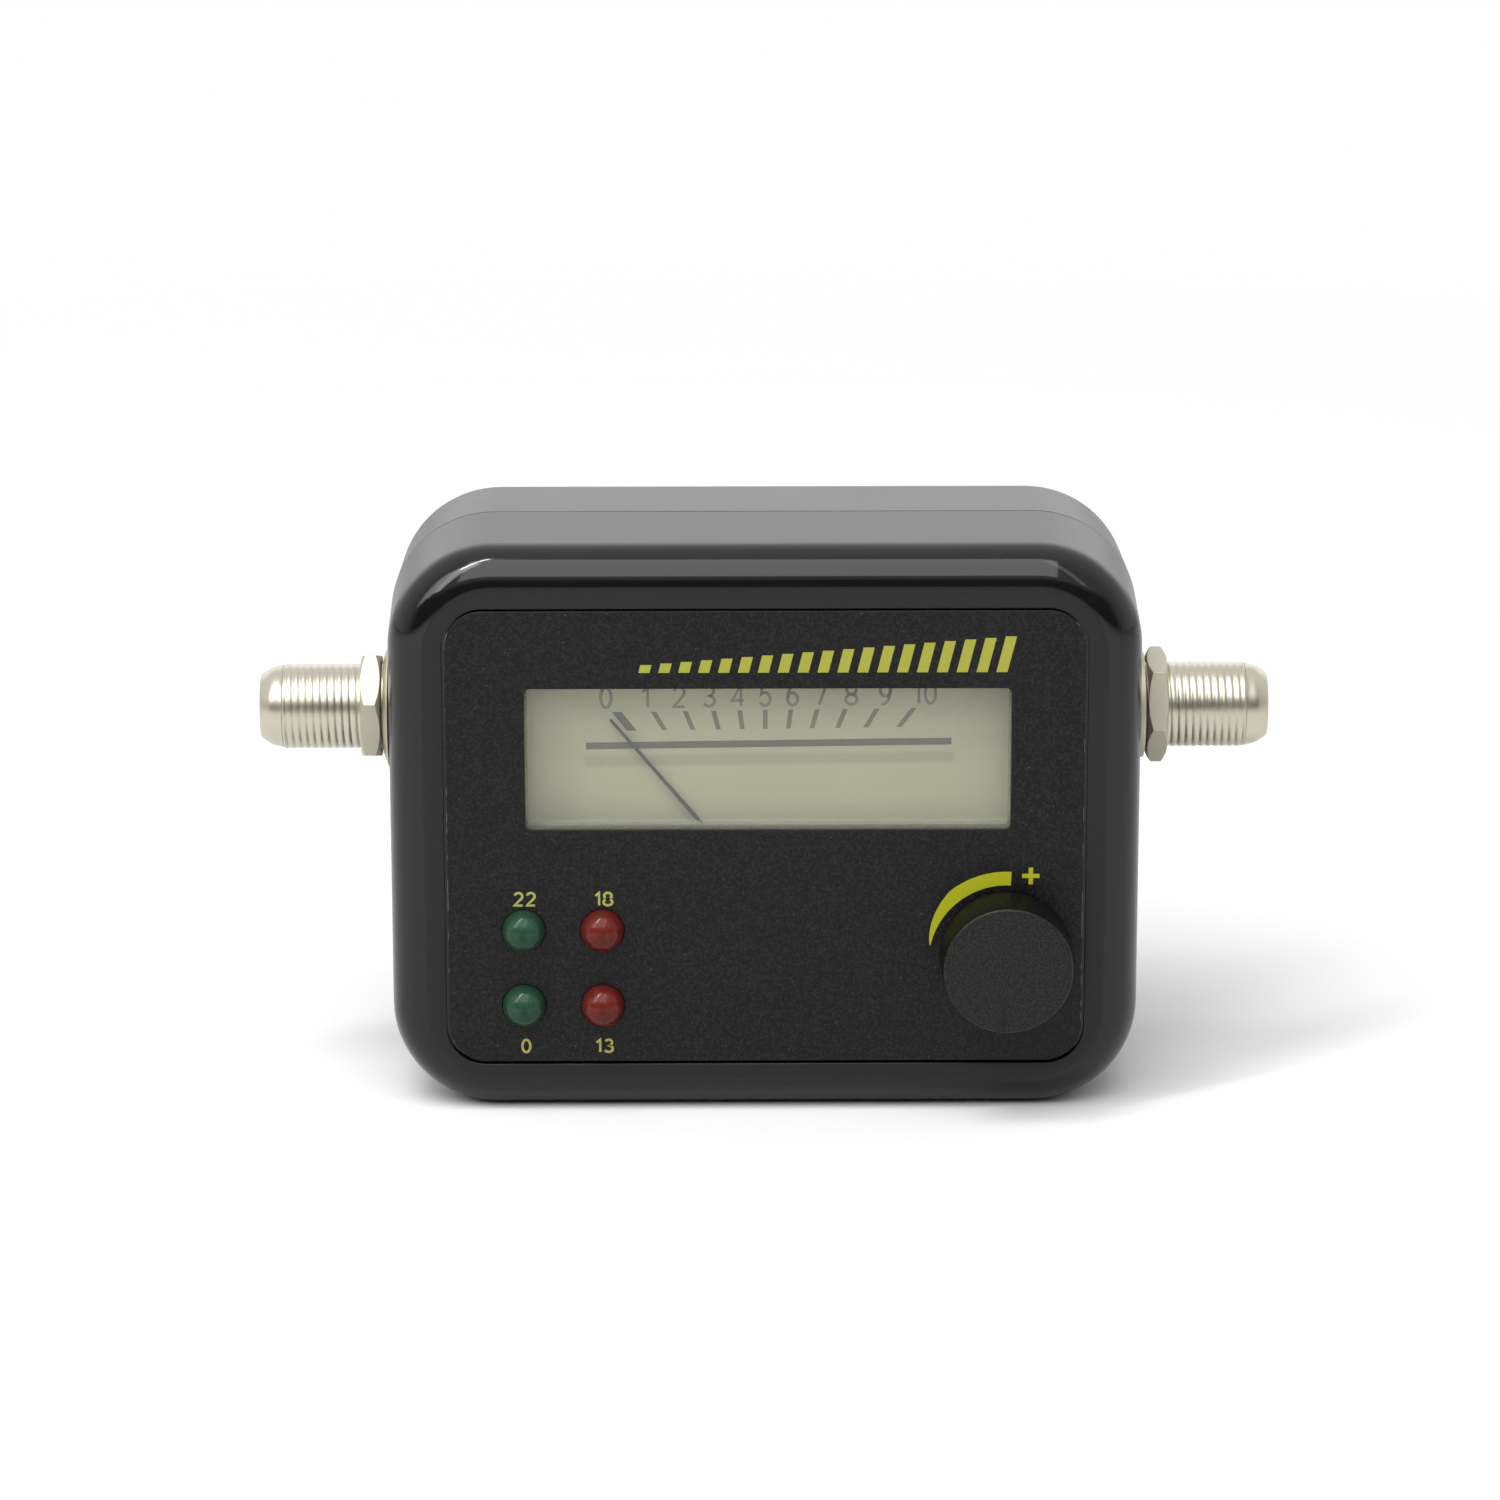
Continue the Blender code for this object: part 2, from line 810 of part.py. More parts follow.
def make_meter_lens():
    """Clear cover: a window boss through the panel, a flange and a skirt."""
    near = lens_depth
    wide, narrow = meter_outline_plates(near, skirt_end_depth, skirt_end_depth, 0.0)
    lens = join(wide, narrow)
    front = window_boss_sink
    join(lens, moved(window_plate(front, near + embed, gap), -window_x, 0, 0))
    back = skirt_end_depth + overrun
    cut(lens, *meter_outline_plates(lens_back_depth, back, back, meter_wall))
    hollow = window_plate(front + lens_thickness, lens_back_depth + embed, gap + meter_wall)
    cut(lens, moved(hollow, -window_x, 0, 0))
    return finish(lens, "meter_lens", "clear_plastic", place=(window_x, 0))


def dial_post_places():
    """Centres of the four posts behind the dial plate."""
    side = meter_half_width - dial_post_inset
    return [
        (sign * side, z)
        for sign in (-1, 1)
        for z in (meter_shelf + dial_post_inset, meter_top - dial_post_inset)
    ]


def make_meter_case():
    """Moulded cup behind the dial: shallow under the scale, deep at the movement."""
    wide, narrow = meter_outline_plates(meter_rim_depth, shallow_box_depth, deep_box_depth, 0.0)
    case = join(wide, narrow)
    front = meter_rim_depth - overrun
    shallow_floor = shallow_box_depth - meter_wall
    deep_floor = deep_box_depth - meter_wall
    cut(case, *meter_outline_plates(front, shallow_floor, deep_floor, meter_wall))
    post_front = dial_depth + dial_thickness + gap
    for x, z in dial_post_places():
        join(case, rod(x, z, dial_post_radius, post_front, shallow_floor + embed, small_steps))
    seat_front = core_end_depth + gap
    half = ring_seat_width / 2
    wall_x = meter_body_half_width - meter_wall + embed
    seat_x = (ring_inner_radius + ring_outer_radius) / 2
    for side in (-1, 1):
        left, right = sorted((side * seat_x, side * wall_x))
        seat = block(left, right, seat_front, deep_floor + embed, pivot_z - half, pivot_z + half)
        join(case, seat)
    return finish(case, "meter_case", "meter_plastic", place=(window_x, 0))


def make_dial_plate():
    """Scale plate behind the needle."""
    margin = meter_wall + gap
    dial = plate(
        -meter_half_width + margin, meter_half_width - margin,
        dial_depth, dial_depth + dial_thickness,
        meter_shelf + margin, meter_top - margin, meter_corner_radius / 2,
    )
    return finish(dial, "dial_plate", "dial_card", place=(window_x, 0))


def needle_arm():
    """The needle's tapered arm, up from the hub, and its tail."""
    tip, root = needle_tip_width / 2, needle_root_width / 2
    outline = [
        (tip, needle_length - tip),
        (0, needle_length),
        (-tip, needle_length - tip),
        (-root, 0),
        (-root, -needle_tail_length),
        (root, -needle_tail_length),
        (root, 0),
    ]
    return prism(outline, needle_depth, needle_depth + needle_thickness)


def make_needle(axis):
    """Needle with its hub, tail weight and two balance arms."""
    near = needle_depth
    far = near + hub_thickness
    needle = join(needle_arm(), rod(0, 0, hub_radius, near, far))
    half = needle_root_width / 2
    join(
        needle,
        block(-balance_reach, balance_reach, near, near + needle_thickness, -half, half),
        rod(0, -needle_tail_length, balance_weight_radius, near, far, small_steps),
        rod(balance_reach, 0, balance_weight_radius, near, far, small_steps),
        rod(-balance_reach, 0, balance_weight_radius, near, far, small_steps),
    )
    cut(needle, rod(0, 0, staff_radius + running_clearance, near - overrun, far + overrun, small_steps))
    return finish(needle, "needle", "needle_metal", parent=axis)


def make_moving_coil(axis):
    """Wound frame that turns round the core."""
    outer = coil_outer_radius
    inner = coil_inner_radius
    half = coil_width / 2
    frame = upright_prism(
        rounded_outline(-outer, outer, coil_front_depth, coil_rear_depth, coil_thickness / 2, edge_steps),
        -half, half,
    )
    hollow = block(
        -inner, inner, coil_front_depth + coil_thickness, coil_rear_depth - coil_thickness,
        -half - overrun, half + overrun,
    )
    return finish(cut(frame, hollow), "moving_coil", "copper_wire", parent=axis)


def spring_front(near_side):
    """Depth at which the front or rear hairspring starts."""
    if near_side:
        return front_bridge_front - gap - spring_height
    return coil_rear_depth + gap


def make_staffs(axis):
    """Front and rear pivots of the moving coil, each with its spring collet."""
    collet_front = spring_front(True)
    front_end = coil_front_depth - gap
    profile = [
        (needle_depth, 0),
        (needle_depth, staff_radius),
        (collet_front, staff_radius),
        (collet_front, collet_radius),
        (collet_front + spring_height, collet_radius),
        (collet_front + spring_height, staff_radius),
        (front_end, staff_radius),
        (front_end, 0),
    ]
    finish(turned(profile, "Y", small_steps), "front_pivot_staff", "steel", parent=axis)
    rear_start = spring_front(False)
    profile = [
        (rear_start, 0),
        (rear_start, collet_radius),
        (rear_start + spring_height, collet_radius),
        (rear_start + spring_height, staff_radius),
        (rear_bridge_back - staff_radius / 2, staff_radius),
        (rear_bridge_back, staff_radius / 2),
        (rear_bridge_back, 0),
    ]
    finish(turned(profile, "Y", small_steps), "rear_pivot_staff", "steel", parent=axis)


def make_magnet_parts():
    """Fixed core magnet and the soft-iron ring round the coil."""
    core = rod(0, 0, core_radius, core_depth, core_end_depth)
    finish(core, "core_magnet", "magnet", place=(window_x, pivot_z))
    profile = [
        (core_depth, ring_inner_radius),
        (core_depth, ring_outer_radius),
        (core_end_depth, ring_outer_radius),
        (core_end_depth, ring_inner_radius),
    ]
    finish(turned(profile, "Y", closed=True), "flux_ring", "steel", place=(window_x, pivot_z))


def bridge(near, far, feet_near, feet_far):
    """Upright bar across the flux ring, with a foot over the ring at each end."""
    half = bridge_width / 2
    reach = ring_outer_radius - embed
    bar = plate(-half, half, near, far, -reach, reach, bridge_corner_radius)
    inner = ring_inner_radius + embed / 2
    return join(
        bar,
        block(-half / 2, half / 2, feet_near, feet_far, inner, reach - embed),
        block(-half / 2, half / 2, feet_near, feet_far, embed - reach, -inner),
    )


def make_bridges():
    """Bars that hold the two pivots; the front one also holds the core."""
    post_z = spring_outer_radius + spring_strip / 2 + gap + spring_post_radius
    bore = staff_radius + running_clearance
    near, far = front_bridge_front, front_bridge_back
    front = bridge(near, far, far - embed, core_depth - gap)
    join(
        front,
        rod(0, core_post_offset, core_post_radius, far - embed, core_depth - gap, small_steps),
        rod(0, -core_post_offset, core_post_radius, far - embed, core_depth - gap, small_steps),
        rod(0, -post_z, spring_post_radius, spring_front(True), near + embed, small_steps),
    )
    cut(front, rod(0, 0, bore, near - overrun, far + overrun, small_steps))
    finish(front, "front_bridge", "brass", place=(window_x, pivot_z))
    near, far = rear_bridge_front, rear_bridge_back
    rear = bridge(near, far, core_end_depth + gap, near + embed)
    join(rear, rod(0, -post_z, spring_post_radius, spring_front(False), near + embed, small_steps))
    cut(rear, rod(0, 0, bore, near - overrun, far + overrun, small_steps))
    finish(rear, "rear_bridge", "brass", place=(window_x, pivot_z))


def hairspring(near, winding):
    """Flat spiral strip from the collet out to the bridge's spring post."""
    steps = spring_turns * spring_steps_per_turn
    half = spring_strip / 2
    rings = []
    for step in range(steps + 1):
        share = step / steps
        radius = spring_inner_radius + share * (spring_outer_radius - spring_inner_radius)
        angle = winding * share * spring_turns * 2 * pi
        across, up = -sin(angle), -cos(angle)
        rings.append([
            ((radius - half) * across, near, (radius - half) * up),
            ((radius + half) * across, near, (radius + half) * up),
            ((radius + half) * across, near + spring_height, (radius + half) * up),
            ((radius - half) * across, near + spring_height, (radius - half) * up),
        ])
    return loft(rings)


def make_hairsprings():
    """Two opposed spirals that carry the coil current and bring the needle back."""
    for name, near_side, winding in (("front_hairspring", True, 1), ("rear_hairspring", False, -1)):
        spring = hairspring(spring_front(near_side), winding)
        finish(spring, name, "brass", place=(window_x, pivot_z))


def make_meter_pins():
    """Two pins from the back of the meter through the circuit board."""
    for name, side in (("meter_pin_left", -1), ("meter_pin_right", 1)):
        pin = rod(0, 0, meter_pin_radius, deep_box_depth + gap, lead_end_depth, small_steps)
        finish(pin, name, "brass", place=meter_pin_place(side))


def meter_pin_place(side):
    return (window_x + side * meter_pin_spread, meter_bottom + meter_pin_rise)


# Signal lamps

def make_lamps():
    """Four round-nosed lamps, each with a flange and two leads into the board."""
    flange_back = lamp_flange_depth + lamp_flange_thickness
    half = lead_width / 2
    for name, finish_name, x, z in lamp_places():
        nose = [
            (-lamp_reach + lamp_radius * (1 - cos(turn)), lamp_radius * sin(turn))
            for turn in (step / edge_steps * pi / 2 for step in range(edge_steps + 1))
        ]
        profile = nose + [
            (lamp_flange_depth, lamp_radius),
            (lamp_flange_depth, lamp_flange_radius),
            (flange_back, lamp_flange_radius),
            (flange_back, 0),
        ]
        lamp = turned(profile, "Y", collar_steps)
        for side in (-1, 1):
            middle = side * lead_pitch / 2
            join(lamp, block(middle - half, middle + half, flange_back - embed, lead_end_depth, -half, half))
        finish(lamp, name, finish_name, place=(x, z))


# Gain control

def make_knob(axis):
    """Push-on knob with a hollow back, a socket for the shaft and an index groove."""
    face = -knob_reach
    base = -gap * 2
    socket = shaft_radius + running_clearance
    sleeve = socket + knob_wall
    floor = face + knob_cap
    rim = [
        (face + knob_edge_radius * (1 - sin(turn)), knob_face_radius - knob_edge_radius * (1 - cos(turn)))
        for turn in (step / edge_steps * pi / 2 for step in range(edge_steps, -1, -1))
    ]
    profile = [(face, 0)] + rim + [
        (base, knob_base_radius),
        (base, knob_base_radius - knob_wall),
        (floor, knob_face_radius - knob_wall),
        (floor, sleeve),
        (base - knob_wall, sleeve),
        (base - knob_wall, socket),
        (floor, socket),
        (floor, 0),
    ]
    knob = turned(profile, "Y", knob_steps)
    half = knob_index_width / 2
    groove = block(
        -half, half, face - overrun, face + knob_index_depth,
        -knob_face_radius - overrun, -knob_index_start,
    )
    return finish(cut(knob, groove), "gain_knob", "knob_plastic", parent=axis)


def pot_depths():
    """Depths of the potentiometer body's front and back faces."""
    return component_depth - pot_thickness, component_depth


def make_pot_shaft(axis):
    """Shaft from inside the knob to the wiper."""
    pot_front, _ = pot_depths()
    start = -knob_reach + knob_cap + shaft_end_gap
    end = pot_front + pot_face_thickness + gap
    profile = [
        (start, 0),
        (start, shaft_radius - knob_edge_radius),
        (start + knob_edge_radius, shaft_radius),
        (end, shaft_radius),
        (end, 0),
    ]
    return finish(turned(profile, "Y", collar_steps), "pot_shaft", "steel", parent=axis)


def make_pot_wiper(axis):
    """Disc on the shaft's inner end, with a finger that runs on the track."""
    pot_front, pot_back = pot_depths()
    near = pot_front + pot_face_thickness + 2 * gap
    far = near + wiper_thickness
    track_front = pot_back - pot_back_thickness - gap - track_thickness
    wiper = rod(0, 0, wiper_radius, near, far, collar_steps)
    finger_x = (track_inner_radius + wiper_radius) / 2
    join(wiper, rod(finger_x, 0, wiper_finger_radius, far - embed, track_front - gap, small_steps))
    return finish(wiper, "pot_wiper", "brass", parent=axis)


def make_potentiometer():
    """Fixed pieces of the gain control: bushing, body, track and three terminals."""
    pot_front, pot_back = pot_depths()
    bore = shaft_radius + running_clearance
    bushing_back = pot_front - gap
    profile = [
        (bushing_back - bushing_length, bore),
        (bushing_back - bushing_length, bushing_radius),
        (bushing_back - bushing_flange_thickness, bushing_radius),
        (bushing_back - bushing_flange_thickness, pot_half_width - pot_corner_radius),
        (bushing_back, pot_half_width - pot_corner_radius),
        (bushing_back, bore),
    ]
    bushing = turned(profile, "Y", collar_steps, closed=True)
    finish(bushing, "pot_bushing", "nickel", place=(knob_x, knob_z))
    body = plate(
        -pot_half_width, pot_half_width, pot_front, pot_back,
        -pot_half_height, pot_half_height, pot_corner_radius,
    )
    cavity_front = pot_front + pot_face_thickness
    cavity_back = pot_back - pot_back_thickness
    cut(
        body,
        rod(0, 0, pot_cavity_radius, cavity_front, cavity_back, collar_steps),
        rod(0, 0, bore, pot_front - overrun, cavity_front + embed, collar_steps),
    )
    finish(body, "pot_body", "blue_resin", place=(knob_x, knob_z))
    track_back = cavity_back - gap
    profile = [
        (track_back - track_thickness, track_inner_radius),
        (track_back - track_thickness, wiper_radius),
        (track_back, wiper_radius),
        (track_back, track_inner_radius),
    ]
    track = turned(profile, "Y", collar_steps, closed=True)
    finish(track, "pot_track", "black_resin", place=(knob_x, knob_z))
    half = terminal_width / 2
    for number, x in enumerate(terminal_places(), 1):
        top = terminal_thickness / 2
        start = lead_end_depth - terminal_length
        terminal = block(-half, half, start, lead_end_depth, -top, top)
        finish(terminal, f"pot_terminal_{number}", "brass", place=(x, terminal_row_z()))


def terminal_places():
    """Places across of the potentiometer's three terminals."""
    return [knob_x + side * terminal_pitch for side in (-1, 0, 1)]


def terminal_row_z():
    """Height of the row of terminals, just over the potentiometer's body."""
    return knob_z + pot_half_height + gap + terminal_thickness / 2


# Circuit board

def board_outline():
    """The board's outline, notched at the corners round the case's screw tubes."""
    taper = (board_back_depth - seam_depth) * tan(rear_draft_angle)
    side = inner_half_width - taper - board_margin
    top = panel_top - taper - wall - board_margin
    bottom = panel_bottom + wall + board_margin
    tube = rear_boss_radius + (case_depth - seam_depth) * tan(draft_angle) + board_notch_margin
    (boss_x, boss_top), _, (_, boss_bottom), _ = boss_places()
    notch_x = boss_x - tube
    notch_top = boss_top - tube
    notch_bottom = boss_bottom + tube
    return [
        (notch_x, top), (-notch_x, top), (-notch_x, notch_top), (-side, notch_top),
        (-side, notch_bottom), (-notch_x, notch_bottom), (-notch_x, bottom), (notch_x, bottom),
        (notch_x, notch_bottom), (side, notch_bottom), (side, notch_top), (notch_x, notch_top),
    ]


def make_circuit_board():
    """Board with a hole for every lead, pin, terminal and screw."""
    board = prism(board_outline(), board_front_depth, board_back_depth)
    near = board_front_depth - overrun
    far = board_back_depth + overrun
    lead_hole = hypot(lead_width, lead_width) / 2 + gap
    holes = [(x, z, board_screw_radius + gap) for x, z in board_screw_places()]
    for _, _, x, z in lamp_places():
        holes += [(x + side * lead_pitch / 2, z, lead_hole) for side in (-1, 1)]
    holes += [(*meter_pin_place(side), meter_pin_radius + gap) for side in (-1, 1)]
    terminal_hole = hypot(terminal_width, terminal_thickness) / 2 + gap
    holes += [(x, terminal_row_z(), terminal_hole) for x in terminal_places()]
    holes += [
        (side * contact_tail_x(), connector_z, contact_tail_radius + gap) for side in (-1, 1)
    ]
    for x, z, radius in holes:
        cut(board, rod(x, z, radius, near, far, small_steps))
    return finish(board, "circuit_board", "board_laminate")


def make_board_screws():
    """Four screws through the board into the rear shell's standoffs."""
    seat = component_depth
    for number, (x, z) in enumerate(board_screw_places(), 1):
        head_front = seat - board_screw_head_height
        profile = [
            (head_front, 0),
            (head_front, board_screw_head_radius * pan_head_share),
            (head_front + board_screw_head_height / 2, board_screw_head_radius),
            (seat, board_screw_head_radius),
            (seat, board_screw_radius),
            (seat + board_screw_length - board_screw_radius, board_screw_radius),
            (seat + board_screw_length, board_screw_radius / 2),
            (seat + board_screw_length, 0),
        ]
        screw = turned(profile, "Y", small_steps)
        finish(screw, f"board_screw_{number}", "steel", place=(x, z))


def make_amplifier_chip():
    """Eight-leg amplifier on the board behind the meter."""
    half_width = chip_width / 2
    half_height = chip_height / 2
    front = chip_front_depth
    body = block(-half_width, half_width, front, front + chip_thickness, -half_height, half_height)
    half_leg = chip_leg_width / 2
    middle = front + chip_thickness / 2
    for number in range(chip_legs_per_side):
        x = (number - (chip_legs_per_side - 1) / 2) * chip_leg_pitch
        for side in (-1, 1):
            edge = side * (half_height - embed)
            out = side * (half_height + chip_leg_reach)
            knee = side * (half_height + chip_leg_reach - chip_leg_width / 2)
            flat = block(
                x - half_leg, x + half_leg, middle - half_leg / 2, middle + half_leg / 2,
                min(edge, out), max(edge, out),
            )
            foot = block(
                x - half_leg, x + half_leg, middle, component_depth, min(knee, out), max(knee, out)
            )
            join(body, join(flat, foot))
    return finish(body, "amplifier_chip", "black_resin", place=(window_x, chip_z))


def make_capacitors():
    """Two round cans that stand on the board."""
    base = component_depth
    for name, radius, z in (
        ("small_capacitor", small_capacitor_radius, small_capacitor_z),
        ("large_capacitor", large_capacitor_radius, large_capacitor_z),
    ):
        top = base - capacitor_height
        groove = base - capacitor_groove_height
        waist = radius - capacitor_groove
        profile = [
            (top, 0),
            (top, waist),
            (top + capacitor_groove, radius),
            (groove - capacitor_groove_width, radius),
            (groove - capacitor_groove_width / 2, waist),
            (groove, radius),
            (base, radius),
            (base, 0),
        ]
        can = turned(profile, "Y", collar_steps)
        finish(can, name, "blue_resin", place=(capacitor_x, z))


def make_signal_choke():
    """Wound bobbin that passes the receiver's supply between the sockets."""
    base = component_depth
    top = base - choke_height
    profile = [
        (top, 0),
        (top, choke_radius),
        (top + choke_flange, choke_radius),
        (top + choke_flange, choke_core_radius),
        (base - choke_flange, choke_core_radius),
        (base - choke_flange, choke_radius),
        (base, choke_radius),
        (base, 0),
    ]
    bobbin = turned(profile, "Y", collar_steps)
    return finish(bobbin, "signal_choke", "magnet", place=(choke_x, choke_z))


def make_regulator():
    """Half-round voltage regulator on three legs."""
    flat_angle = atan2(-regulator_flat, (regulator_radius**2 - regulator_flat**2) ** 0.5)
    sweep = pi - 2 * flat_angle
    outline = [
        (regulator_radius * cos(flat_angle + step / small_steps * sweep),
         regulator_radius * sin(flat_angle + step / small_steps * sweep))
        for step in range(small_steps + 1)
    ]
    back = component_depth - regulator_leg_height
    body = prism(outline, back - regulator_height, back)
    half = lead_width / 2
    for side in (-1, 0, 1):
        x = side * lead_pitch / 2
        join(body, block(x - half, x + half, back - embed, component_depth, -half, half))
    return finish(body, "voltage_regulator", "black_resin", place=(regulator_x, regulator_z))


# Side connectors

def hexagon(across_flats, near, far):
    """Six-sided bar along X, with flats in front and behind."""
    corner = across_flats / 2 / cos(pi / 6)
    return turned([(near, 0), (near, corner), (far, corner), (far, 0)], "X", 6)


def contact_tail_x():
    """Distance from the middle of the case to the contact's leg."""
    barrel_end = inner_half_width - gap - flange_thickness - barrel_tail_length
    return barrel_end - contact_tail_reach


def make_barrel(name, side, place):
    """Threaded barrel with its inner hexagonal flange and solder tail."""
    flange_outer = inner_half_width - gap
    flange_inner = flange_outer - flange_thickness
    tail_end = flange_inner - barrel_tail_length
    tip_start = thread_end
    profile = [
        (tail_end, barrel_bore_radius),
        (tail_end, barrel_tail_radius),
        (flange_outer - embed, barrel_tail_radius),
        (flange_outer - embed, thread_radius),
        (tip_start - tip_round / 2, thread_radius),
        (tip_start, tip_radius),
        (connector_end - tip_round, tip_radius),
        (connector_end, tip_end_radius),
        (connector_end, barrel_bore_radius),
    ]
    barrel = turned(profile, "X", closed=True)
    flange = hexagon(flange_across_flats, flange_inner, flange_outer)
    reach = [
        (flange_inner - overrun, 0),
        (flange_inner - overrun, barrel_tail_radius - embed),
        (flange_outer + overrun, barrel_tail_radius - embed),
        (flange_outer + overrun, 0),
    ]
    cut(flange, turned(reach, "X"))
    join(barrel, flange)
    finish(mirrored(moved(barrel, 0, seam_depth, 0), side), f"connector_barrel_{name}", "nickel", place=place)


def make_insulator(name, side, place):
    """White insulator inside the barrel."""
    radius = barrel_bore_radius - gap
    hole = contact_radius + gap
    start = contact_tail_x() + contact_tail_reach
    end = connector_end - insulator_sink
    profile = [(start, hole), (start, radius), (end, radius), (end, hole)]
    sleeve = turned(profile, "X", collar_steps, closed=True)
    finish(
        mirrored(moved(sleeve, 0, seam_depth, 0), side), f"connector_insulator_{name}", "insulator",
        place=place,
    )


def make_contact(name, side, place):
    """Socket contact, with a leg that turns back into the board."""
    leg_x = contact_tail_x()
    end = connector_end - contact_sink
    profile = [
        (leg_x - contact_tail_radius, 0),
        (leg_x - contact_tail_radius, contact_radius),
        (end, contact_radius),
        (end, contact_bore_radius),
        (end - contact_bore_depth, contact_bore_radius),
        (end - contact_bore_depth, 0),
    ]
    contact = moved(turned(profile, "X", small_steps), 0, seam_depth, 0)
    join(contact, rod(leg_x, 0, contact_tail_radius, seam_depth, lead_end_depth, small_steps))
    finish(mirrored(contact, side), f"connector_contact_{name}", "brass", place=place)


def make_washer(name, side, place, base_radius, top_radius):
    """Washer between the case's side and the nut; a dished one narrows outwards."""
    start = case_width / 2 + gap
    end = start + washer_thickness
    bore = thread_radius + gap
    profile = [(start, bore), (start, base_radius), (end, top_radius), (end, bore)]
    washer = turned(profile, "X", closed=True)
    finish(
        mirrored(moved(washer, 0, seam_depth, 0), side), f"connector_washer_{name}", "nickel",
        place=place,
    )


def make_nut(name, side, place, turn):
    """Chamfered hexagonal nut that clamps the barrel to the case."""
    start = nut_inner_x
    end = start + nut_thickness
    middle = (start + end) / 2
    rise = 1 / tan(nut_chamfer_angle)
    end_radius = nut_across_flats / 2 - overrun * rise
    nut = rolled(hexagon(nut_across_flats, start, end), turn)
    trim = [
        (start - overrun, 0),
        (start - overrun, end_radius),
        (middle, end_radius + (middle - start + overrun) * rise),
        (end + overrun, end_radius),
        (end + overrun, 0),
    ]
    combined(nut, rolled(turned(trim, "X", knob_steps), pi / knob_steps), "INTERSECT")
    bore = thread_radius + gap
    hole = [
        (start - overrun, 0), (start - overrun, bore), (end + overrun, bore), (end + overrun, 0),
    ]
    cut(nut, turned(hole, "X"))
    finish(mirrored(moved(nut, 0, seam_depth, 0), side), f"connector_nut_{name}", "nickel", place=place)


def make_connectors():
    """A coaxial socket through each side wall, clamped at the seam."""
    place = (0, connector_z)
    for name, side, turn, base_radius, top_radius in (
        ("left", -1, left_nut_turn, dished_washer_base_radius, dished_washer_top_radius),
        ("right", 1, right_nut_turn, flat_washer_radius, flat_washer_radius),
    ):
        make_barrel(name, side, place)
        make_insulator(name, side, place)
        make_contact(name, side, place)
        make_washer(name, side, place, base_radius, top_radius)
        make_nut(name, side, place, turn)


def main():
    clear_scene()
    make_front_shell()
    make_rear_shell()
    make_front_label()
    make_case_screws()
    make_meter_lens()
    make_meter_case()
    make_dial_plate()
    needle_axis = pivot_parent("needle_axis", window_x, pivot_z, -needle_rest_angle)
    make_needle(needle_axis)
    make_moving_coil(needle_axis)
    make_staffs(needle_axis)
    make_magnet_parts()
    make_bridges()
    make_hairsprings()
    make_meter_pins()
    make_lamps()
    knob_axis = pivot_parent("knob_axis", knob_x, knob_z)
    make_knob(knob_axis)
    make_pot_shaft(knob_axis)
    make_pot_wiper(knob_axis)
    make_potentiometer()
    make_circuit_board()
    make_board_screws()
    make_amplifier_chip()
    make_capacitors()
    make_signal_choke()
    make_regulator()
    make_connectors()


main()
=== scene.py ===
"""Looks of the satellite signal meter: smooth pieces, prints, finishes and the studio."""
from math import cos, pi, radians, sin, tan

import bmesh
import bpy
from bpy.props import FloatProperty, FloatVectorProperty, IntProperty, PointerProperty
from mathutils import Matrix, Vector


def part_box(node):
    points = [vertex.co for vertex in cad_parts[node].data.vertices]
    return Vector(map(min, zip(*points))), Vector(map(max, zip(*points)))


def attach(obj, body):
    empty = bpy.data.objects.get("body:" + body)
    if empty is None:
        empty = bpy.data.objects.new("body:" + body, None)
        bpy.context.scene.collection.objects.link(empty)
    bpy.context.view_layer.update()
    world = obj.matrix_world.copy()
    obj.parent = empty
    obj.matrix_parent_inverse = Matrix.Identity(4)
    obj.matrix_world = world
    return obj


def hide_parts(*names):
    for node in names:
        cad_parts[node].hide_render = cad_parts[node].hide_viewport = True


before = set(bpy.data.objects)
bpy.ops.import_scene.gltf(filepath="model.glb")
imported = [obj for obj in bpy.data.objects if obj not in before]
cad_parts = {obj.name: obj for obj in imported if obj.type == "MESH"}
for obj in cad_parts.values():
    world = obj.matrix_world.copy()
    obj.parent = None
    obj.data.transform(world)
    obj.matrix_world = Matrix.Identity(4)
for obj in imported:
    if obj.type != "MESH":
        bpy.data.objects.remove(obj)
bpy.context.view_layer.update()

bl_info = {
    "name": "Satellite signal meter",
    "version": (1, 0, 0),
    "blender": (4, 5, 0),
    "location": "3D View > Sidebar > Signal meter",
    "description": "Dresses the signal meter's frame with its visible pieces and finishes",
    "category": "Add Mesh",
}

mm = 0.001
front_low, front_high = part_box("front_shell")
rear_low, rear_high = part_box("rear_shell")
label_low, label_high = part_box("front_label")
panel_z = (label_low.z + label_high.z) / 2
# How far the dial's print climbs for each unit to the right
scale_tilt = 0.0117


# Properties: the sizes and colours that a user would change

def length(name, description, default):
    return FloatProperty(name=name, description=description, default=default, unit="LENGTH", precision=5)


def share(name, description, default):
    return FloatProperty(
        name=name, description=description, default=default, min=0.0, max=1.0, subtype="FACTOR",
    )


def colour(name, description, default):
    return FloatVectorProperty(
        name=name, description=description, default=default, size=3, min=0.0, max=1.0,
        subtype="COLOR",
    )


def angle_of(name, description, degrees):
    return FloatProperty(name=name, description=description, default=radians(degrees), subtype="ANGLE")


def wattage(name, description, default):
    return FloatProperty(name=name, description=description, default=default, unit="POWER")


